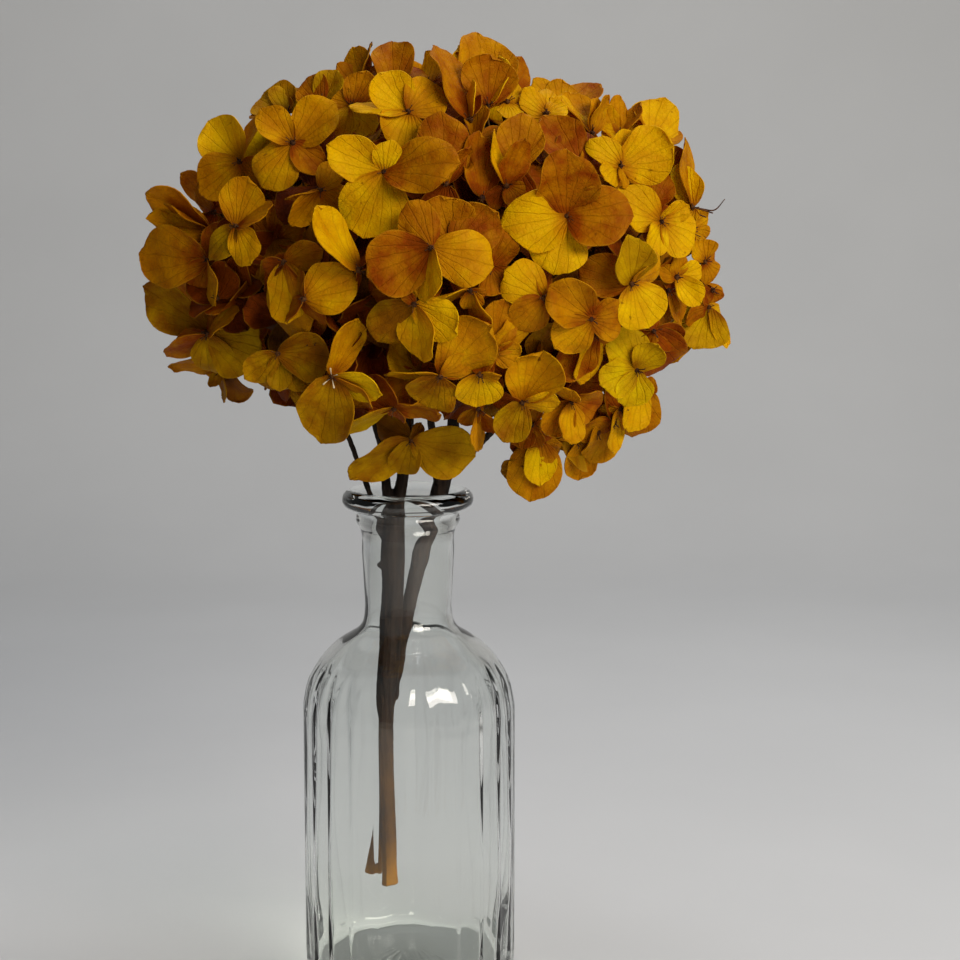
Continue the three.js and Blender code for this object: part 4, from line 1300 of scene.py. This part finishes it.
@dataclass
class Layering:
    """Lets every sepal lie under the ones in front of it, by bending it where they would cross."""

    shape: HeadShape
    # Room between two sheets, how far out sheets are looked for, and the longest way in.
    gap: float = 0.6
    look: float = 14.0
    most: float = 8.0
    # A sheet that lies this far under the points leaves them where they are.
    stays_above: float = 4.0
    rounds: int = 12
    touch: float = 1.25

    def settle(self, florets: Sequence[Floret]) -> None:
        """Moves covered florets in, and then bends the sepals from the foremost to the deepest.

        Args:
            florets: The florets, with their sheets laid out.
        """
        order = sorted(florets, key=lambda floret: -floret.rank)
        trees: list[tuple[Floret, BVHTree]] = []
        for floret in order:
            near = [tree for other, tree in trees if self._near(floret, other)]
            push = self._pushes(floret.centre[None, :], near)[0]
            if push < 0:
                floret.shift(self.shape.outwards(floret.centre[None, :])[0] * push)
            trees.append((floret, self._tree([sepal.sheet for sepal in floret.sepals])))
        pairs = [(floret, sepal) for floret in order for sepal in floret.sepals]
        pairs.sort(key=lambda pair: -pair[1].rank)
        placed: list[tuple[Floret, BVHTree]] = []
        for floret, sepal in pairs:
            near = [tree for other, tree in placed if other is not floret and self._near(floret, other)]
            self._bend(sepal, near)
            placed.append((floret, self._tree([sepal.sheet])))

    def _near(self, floret: Floret, other: Floret) -> bool:
        """Whether two florets are close enough to touch."""
        reach = floret.sepals[0].length + other.sepals[0].length
        return bool(np.linalg.norm(other.centre - floret.centre) < self.touch * reach)

    @staticmethod
    def _tree(sheets: Sequence[np.ndarray]) -> BVHTree:
        """Makes a tree that rays can be cast at.

        Args:
            sheets: Sheets of one size.

        Returns:
            The tree.
        """
        rows, columns = sheets[0].shape[:2]
        size = rows * columns
        firsts = [
            n + a * columns + b
            for n in range(0, size * len(sheets), size)
            for a in range(rows - 1)
            for b in range(columns - 1)
        ]
        faces = [(i, i + 1, i + columns + 1, i + columns) for i in firsts]
        points = np.concatenate([sheet.reshape(-1, 3) for sheet in sheets])
        return BVHTree.FromPolygons(points.tolist(), faces)

    def _pushes(self, points: np.ndarray, near: Sequence[BVHTree]) -> np.ndarray:
        """How far each point has to go in to lie under the sheets above it.

        Args:
            points: The points.
            near: Sheets that may lie above them.

        Returns:
            A move along the outward direction for each point, 0 or less.
        """
        ways = self.shape.outwards(points)
        starts = [Vector(point + way * self.look) for point, way in zip(points, ways)]
        push = np.zeros(len(points))
        for tree in near:
            found = np.full(len(points), np.nan)
            for i, (start, way) in enumerate(zip(starts, ways)):
                distance = tree.ray_cast(start, Vector(-way), self.look + self.most)[3]
                if distance is not None:
                    found[i] = self.look - distance
            if np.isnan(found).all() or np.nanmean(found) < -self.stays_above:
                continue
            push = np.fmin(push, found - self.gap)
        return np.maximum(push, -self.most)

    def _bend(self, sepal: Sepal, near: Sequence[BVHTree]) -> None:
        """Bends one sepal inwards where other sheets need the room; its claw stays in place.

        Args:
            sepal: The sepal.
            near: Sheets that may lie above it.
        """
        if not near:
            return
        points = sepal.sheet.reshape(-1, 3)
        push = self._pushes(points, near)
        if push.min() == 0:
            return
        move = push.reshape(sepal.sheet.shape[:2])
        for _ in range(self.rounds):
            padded = np.pad(move, 1, mode="edge")
            around = 0.25 * (padded[:-2, 1:-1] + padded[2:, 1:-1] + padded[1:-1, :-2] + padded[1:-1, 2:])
            move = np.minimum(move, around)
            move[0] = 0
        sepal.sheet = sepal.sheet + self.shape.outwards(points).reshape(sepal.sheet.shape) * move[..., None]


@dataclass
class Bloom:
    """One bloom: closed thin sepals, the dried flower in each floret's middle, and the branching stalks."""

    side: Side
    heart: Row
    florets: Sequence[Floret]
    sepal_finish: PreservedSepal
    stalk_finish: DryTissue
    centre_finish: DryTissue
    stamen_finish: DryTissue
    thickness: float = 0.32
    hubs: int = 9
    hub_reach: Row = (24.0, 30.0, 26.0)
    hub_squeeze: float = 0.85
    hub_lift: float = 0.25
    stalk_radius: float = 0.5
    # A bud's stations along its axis and its radius there, as shares of its size.
    bud: tuple[Row, ...] = ((0, 0.7), (0.5, 1.0), (1.1, 0.85), (1.6, 0.4))
    fewest_styles: int = 4
    stamens: int = 4
    first_inner: int = 300
    # Florets that keep a few pale stamens.
    stamened: tuple[int, ...] = (61, 63)
    # Long dried styles: stations of x, y, z and radius along each.
    styles: tuple[tuple[Row, ...], ...] = ()

    def build(self) -> list[bpy.types.Object]:
        """Builds the sepals, the flower centres and the stalks.

        Returns:
            The bloom's objects.
        """
        outer = [floret for floret in self.florets if floret.number < self.first_inner]
        inner = [floret for floret in self.florets if floret.number >= self.first_inner]
        name = f"bloom_{self.side.value}"
        sepals = self._sepals(f"{name}_sepals", outer)
        fillers = self._sepals(f"{name}_inner_sepals", inner)
        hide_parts(name)
        small = [self._centres(f"{name}_flower_centres", outer), self._stalks(f"{name}_stalks")]
        return [sepals, fillers, *small, *self._stamens(f"{name}_stamens")]

    def _sepals(self, name: str, florets: Sequence[Floret]) -> bpy.types.Object:
        """Makes all sepals of the florets as one object of thin closed sheets.

        Args:
            name: The object's name.
            florets: The florets.

        Returns:
            The object.
        """
        parts = MeshParts()
        places: list[np.ndarray] = []
        marks: list[np.ndarray] = []
        for floret in florets:
            for sepal in floret.sepals:
                sheet = sepal.sheet
                rows, columns = sheet.shape[:2]
                normal = np.cross(np.gradient(sheet, axis=1), np.gradient(sheet, axis=0))
                normal /= np.maximum(np.linalg.norm(normal, axis=-1, keepdims=True), NEAR_ZERO)
                half = 0.5 * self.thickness * normal
                points = np.concatenate([sheet + half, sheet - half]).reshape(-1, 3)
                parts.add(points, self._slab(rows, columns))
                place, mark = self._surface_marks(sepal, rows, columns)
                places += [place, place]
                marks += [mark, mark]
        obj = parts.to_object(name, self.sepal_finish.get(), 50.0)
        self._store(obj.data, np.concatenate(places), np.concatenate(marks))
        return obj

    @staticmethod
    def _surface_marks(sepal: Sepal, rows: int, columns: int) -> tuple[np.ndarray, np.ndarray]:
        """What the finish needs to know of each point of a sepal.

        Args:
            sepal: The sepal.
            rows: Points along the sepal.
            columns: Points across it.

        Returns:
            The place across and along in millimetres, and tone, darker towards the claw by painted
            shade, seed, nearness to the margin and how olive the sepal is, partly painted dull light.
        """
        s, w = sepal.outline(rows)
        t = np.linspace(-1, 1, columns)[None, :]
        ones = np.ones((rows, columns))
        place = np.stack([sepal.half * w * t, sepal.length * s * ones], axis=-1).reshape(-1, 2)
        rim = np.maximum(np.abs(t) * ones, np.clip((s - 0.6) / 0.4, 0, 1) ** 2 * ones)
        tone = min(1.0, max(0.0, abs(sepal.tone) + 0.05 * swing(sepal.seed, 120)))
        # Painted shade: the tone darkens towards the claw, in the floret's middle.
        claw_shade = 0.45 + 0.55 * np.clip(s / 0.34, 0, 1) ** 0.8
        # Olive sepals: partly their own hue, partly painted dull light.
        olive = (0.7 + 0.3 * draw(sepal.seed, 125)) * (sepal.tone < 0)
        mark = np.stack([tone * claw_shade * ones, draw(sepal.seed, 130) * ones, rim, olive * ones], axis=-1)
        return place, mark.reshape(-1, 4)

    @staticmethod
    def _store(mesh: bpy.types.Mesh, places: np.ndarray, marks: np.ndarray) -> None:
        """Gives each corner its place on the sepal in millimetres, and each point its marks.

        Args:
            mesh: The mesh of the sepals.
            places: Each point's place on its sepal.
            marks: Each point's marks.
        """
        corners = np.zeros(len(mesh.loops), np.int32)
        mesh.loops.foreach_get("vertex_index", corners)
        layer = mesh.uv_layers.new(name="sepal_mm")
        layer.data.foreach_set("uv", places[corners].astype(np.float32).ravel())
        colours = mesh.color_attributes.new("marks", "FLOAT_COLOR", "POINT")
        colours.data.foreach_set("color", marks.astype(np.float32).ravel())

    @staticmethod
    def _slab(rows: int, columns: int) -> list[tuple[int, ...]]:
        """A thin slab whose upper and lower sheets are grids, joined round the edge.

        Args:
            rows: Points along each grid.
            columns: Points across it.

        Returns:
            Its faces.
        """
        size = rows * columns
        faces = []
        for a in range(rows - 1):
            for b in range(columns - 1):
                i = a * columns + b
                faces.append((i, i + 1, i + columns + 1, i + columns))
                faces.append((size + i, size + i + columns, size + i + columns + 1, size + i + 1))
        edge = list(range(columns))
        edge += [a * columns + columns - 1 for a in range(1, rows)]
        edge += [size - 1 - b for b in range(1, columns)]
        edge += [a * columns for a in range(rows - 2, 0, -1)]
        for i, j in zip(edge, edge[1:] + edge[:1]):
            faces.append((j, i, size + i, size + j))
        return faces

    def _centres(self, name: str, florets: Sequence[Floret]) -> bpy.types.Object:
        """Makes the dried flower in the middle of each floret: a bud with a few short styles.

        Args:
            name: The object's name.
            florets: The florets.

        Returns:
            The object.
        """
        parts = MeshParts()
        for floret in florets:
            n = floret.number
            size = 0.8 + 0.3 * draw(n, 140)
            bud = [(*(floret.centre + floret.face * (k * size - 0.2)), size * r) for k, r in self.bud]
            parts.add(*tube(np.array(bud), 7))
            side, upright = plane_of(floret.face)
            for k in range(self.fewest_styles + n % 4):
                lean = side * swing(n, 150 + k) + upright * swing(n, 160 + k)
                start = floret.centre + floret.face * 0.5 + lean * 0.4
                top = floret.centre + floret.face * (1.9 + 1.6 * draw(n, 170 + k)) + lean * 1.9
                middle = 0.5 * (start + top) + 0.2 * floret.face
                parts.add(*tube(np.array([(*start, 0.15), (*middle, 0.12), (*top, 0.19)]), 5))
        for style in self.styles:
            parts.add(*tube(smooth_line(style, 6), 5))
        return parts.to_object(name, self.centre_finish.get())

    def _stamens(self, name: str) -> list[bpy.types.Object]:
        """Makes the short pale stamens that still stand in a few of the flowers.

        Args:
            name: The object's name.

        Returns:
            The object, or nothing where the bloom has none.
        """
        parts = MeshParts()
        for floret in self.florets:
            if floret.number not in self.stamened:
                continue
            side, upright = plane_of(floret.face)
            for k in range(self.stamens):
                turn = (360 / self.stamens * k + 40 * draw(floret.number, 200 + k)) * DEGREE
                way = math.cos(turn) * side + math.sin(turn) * upright
                start = floret.centre + 0.9 * way + 1.1 * floret.face
                spread = 2.2 + 1.2 * draw(floret.number, 210 + k)
                top = floret.centre + spread * way + 2.2 * floret.face
                neck = 0.4 * start + 0.6 * top
                tip = top + 0.3 * way
                line = [(*start, 0.16), (*neck, 0.2), (*top, 0.34), (*tip, 0.14)]
                parts.add(*tube(np.array(line), 5))
        return [parts.to_object(name, self.stamen_finish.get())] if parts.points else []

    def _stalks(self, name: str) -> bpy.types.Object:
        """Makes the stalks: from the head of the stem to hubs, and from a hub to its florets.

        Args:
            name: The object's name.

        Returns:
            The object.
        """
        parts = MeshParts()
        heart = np.array(self.heart)
        hubs = []
        for k, way in golden_ways(self.hubs):
            way = way * (1, 1, self.hub_squeeze) + (0, 0, self.hub_lift)
            hub = heart + way * np.array(self.hub_reach)
            sag = np.array((0.0, 0.0, 2 * swing(k, 3) - 3))
            line = smooth_line([(*heart, 1.5), (*(0.5 * (heart + hub) + sag), 1.15), (*hub, 0.95)], 5)
            parts.add(*tube(line, 8))
            hubs.append(hub)
        for floret in self.florets:
            n = floret.number
            hub = min(hubs, key=lambda place: float(np.linalg.norm(place - floret.centre)))
            neck = floret.centre - floret.face * 5
            bend = 0.45 * hub + 0.55 * neck + 1.6 * np.array((swing(n, 1), swing(n, 2), -0.8))
            thin = self.stalk_radius
            stations = [(*hub, 0.8), (*bend, thin), (*neck, thin), (*floret.centre, 0.7)]
            parts.add(*tube(smooth_line(stations, 4), 6))
        return parts.to_object(name, self.stalk_finish.get())


@dataclass(frozen=True)
class SoftLight:
    """A soft light: where it hangs, its width and height, its watts and its sRGB colour."""

    name: str
    place: Row
    size: Row
    watts: float
    colour: str


@dataclass
class Studio:
    """A plain pale floor that sweeps up into a backdrop, soft light, and the camera of the front view."""

    floor_finish: DryTissue
    half_width: float = 2600.0
    front: float = -1500.0
    sweep_start: float = 700.0
    sweep_radius: float = 500.0
    sweep_steps: int = 17
    wall_height: float = 2200.0
    camera_place: Row = (0.0, -700.0, 280.6)
    camera_down: float = 8.013
    camera_right: float = 2.09
    lens: float = 50.0
    sensor: float = 24.0
    lights: tuple[SoftLight, ...] = (
        SoftLight("window_light", (820, -1060, 800), (1000, 480), 18.0, "#fff8ee"),
        SoftLight("ceiling_light", (200, 200, 1100), (700, 700), 5.0, "#f6f8ff"),
    )
    # What the lights point at.
    middle: Row = (0, 0, 240)
    air_colour: str = "#d0d2d4"
    air_strength: float = 0.22

    def build(self) -> None:
        """Builds floor, lights and camera."""
        self._floor()
        self._camera()
        for light in self.lights:
            self._hang(light)
        world = bpy.data.worlds.new("studio_air")
        bpy.context.scene.world = world
        world.use_nodes = True
        air = world.node_tree.nodes["Background"]
        air.inputs["Color"].default_value = linear(self.air_colour)
        air.inputs["Strength"].default_value = self.air_strength
        bpy.context.scene.view_settings.view_transform = "Standard"

    def _floor(self) -> None:
        """The floor and its sweep, as one sheet."""
        start, radius = self.sweep_start, self.sweep_radius
        line = [(self.front, 0.0)]
        for a in np.linspace(0, math.pi / 2, self.sweep_steps):
            line.append((start + radius * math.sin(a), radius * (1 - math.cos(a))))
        line.append((start + radius, self.wall_height))
        points = np.array([(x, y, z) for y, z in line for x in (-self.half_width, self.half_width)])
        parts = MeshParts()
        parts.add(points, [(2 * k, 2 * k + 1, 2 * k + 3, 2 * k + 2) for k in range(len(line) - 1)])
        parts.to_object("studio_floor", self.floor_finish.get())

    def _hang(self, soft: SoftLight) -> None:
        """Adds a soft light that points at the middle of the object.

        Args:
            soft: The light.
        """
        light = bpy.data.lights.new(soft.name, "AREA")
        light.shape = "RECTANGLE"
        light.size, light.size_y = soft.size[0] * MM, soft.size[1] * MM
        light.energy = soft.watts
        light.color = linear(soft.colour)[:3]
        obj = bpy.data.objects.new(soft.name, light)
        bpy.context.scene.collection.objects.link(obj)
        obj.location = Vector(soft.place) * MM
        way = Vector(self.middle) - Vector(soft.place)
        obj.rotation_euler = way.to_track_quat("-Z", "Y").to_euler()

    def _camera(self) -> None:
        """Adds the camera, at the height and angle of the front view."""
        data = bpy.data.cameras.new("front_camera")
        data.lens = self.lens
        data.sensor_width = self.sensor
        obj = bpy.data.objects.new("front_camera", data)
        bpy.context.scene.collection.objects.link(obj)
        obj.location = Vector(self.camera_place) * MM
        obj.rotation_euler = ((90 - self.camera_down) * DEGREE, 0.0, -self.camera_right * DEGREE)
        bpy.context.scene.camera = obj


def make_stems() -> list[WoodyStem]:
    """Makes the two woody stems. Stations are x, y, z and radius along each branch.

    Returns:
        The left and the right stem.
    """
    left = WoodyStem(
        Side.LEFT,
        WoodyBark("hydrangea_bark_dark", "#120b06", "#2a1d13"),
        (
            ((-7.4, -8.2, 37, 3.3), (-7.6, -8.2, 41, 3.1), (-8.2, -8.2, 58, 3.2), (-8.2, -8.2, 86, 3.7),
             (-7.4, -7.9, 108, 4.1), (-6.4, -7, 126, 4), (-5.7, -6.5, 137, 3.8), (-5.2, -6.9, 147, 3.6),
             (-5.2, -6.8, 156, 4.1), (-4.6, -6, 167, 3.6), (-3, -5, 177, 2.5), (-0.8, -5.4, 190, 2.1),
             (0.4, -8, 208, 1.8), (-2, -11, 226, 1.6), (-14, -6, 234, 1.5), (-26, 0, 238, 1.6)),
            ((-5, -6.4, 165, 2), (-7.2, -5.6, 178, 1.8), (-9.2, -6, 196, 1.6), (-18, -3, 218, 1.5),
             (-26, 0, 238, 1.5)),
            ((-6.2, -6.2, 160, 1.8), (-11.4, -6.2, 173.5, 1.1), (-15.4, -6.2, 184, 1.1), (-20.4, -8, 198, 1),
             (-30, -12, 222, 1), (-34, -14, 240, 1)),
        ),
        ((-8.6, -8, 153.5, 1.7), (-3.6, -9.4, 126, 1.3), (-10.6, -7, 100, 1.2)),
    )
    right = WoodyStem(
        Side.RIGHT,
        WoodyBark("hydrangea_bark_brown", "#130c07", "#2e2015"),
        (
            ((-13.4, 0.6, 39, 2.5), (-11, 0.4, 52, 2.6), (-9.2, 0, 68, 2.7), (-7.4, -0.4, 88, 2.8),
             (-4.8, -0.8, 112, 2.9), (-1.6, -0.8, 130, 3), (2.4, 0.6, 147, 3.1), (6.2, 3, 161, 3.2),
             (10.1, 3.7, 173, 3.3), (13, 3.4, 184, 3.1), (15.8, 2, 196, 2.6), (17, 1, 208, 2.1),
             (26, 0, 218, 1.8), (56, 0, 230, 1.6)),
            ((11.2, 3.4, 178, 2), (9.4, -1, 192, 1.5), (7.8, -5, 206, 1.4), (5, -10, 222, 1.3),
             (2, -14, 236, 1.2)),
            ((13.2, 3.2, 182, 2), (18.4, 0, 187.5, 1.5), (24, -4, 194, 1.4), (32, -7, 203, 1.3),
             (52, -8, 226, 1.2)),
        ),
        ((8.6, 1.2, 168, 1.4), (-2.6, 1.6, 122, 1.2)),
    )
    return [left, right]


def long_styles() -> tuple[tuple[Row, ...], ...]:
    """Makes the three long dried styles at the head's right.

    Returns:
        Stations of x, y, z and radius along each.
    """
    return (
        ((97.1, -7, 278, 0.32), (102.2, -5.5, 277, 0.3), (106.4, -5, 276.6, 0.26), (110.3, -4, 280.4, 0.14)),
        ((96.9, -8, 277.7, 0.32), (101, -8.5, 277, 0.3), (105.5, -8.5, 275.6, 0.26)),
        ((97.8, -7, 277.3, 0.32), (100.7, -6, 275.3, 0.3), (103.7, -5, 274.2, 0.26)),
    )


def make_blooms() -> list[Bloom]:
    """Makes the two blooms, with every floret in its place.

    Returns:
        The left and the right bloom.
    """
    shape = HeadShape()
    florets = FloretPlan(shape).all()
    Layering(shape).settle(florets)
    stalk = DryTissue("dried_stalk_brown", "#4a3312", "#6b4a16", 4.0)
    centre = DryTissue("dried_flower_centre", "#2a1004", "#5e3812", 1.5)
    stamen = DryTissue("dried_stamen_pale", "#c8b48c", "#ead9b8", 1.0)
    hearts = {Side.LEFT: (-26.0, 0.0, 236.0), Side.RIGHT: (56.0, 0.0, 230.0)}
    blooms = []
    for side, heart in hearts.items():
        own = [floret for floret in florets if shape.side_of(floret.centre) is side]
        bloom = Bloom(side, heart, own, PreservedSepal(), stalk, centre, stamen)
        if side is Side.RIGHT:
            bloom.styles = long_styles()
        blooms.append(bloom)
    return blooms


def main() -> None:
    """Builds the vase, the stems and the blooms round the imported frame, and reports each piece."""
    logging.basicConfig(level=logging.INFO, format="%(name)s: %(message)s")
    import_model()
    Studio(DryTissue("floor_paper_matt", "#d2d3d3", "#d5d6d6", 160.0, 0.6, 0.9, 0.02)).build()
    pieces = [Vase(MouldedGlass()).build()]
    pieces += [stem.build() for stem in make_stems()]
    for bloom in make_blooms():
        pieces += bloom.build()
    for piece in pieces:
        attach(piece, BODY)
        LOG.info("%s: %d faces", piece.name, len(piece.data.polygons))
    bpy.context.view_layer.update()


if __name__ == "__main__":
    main()
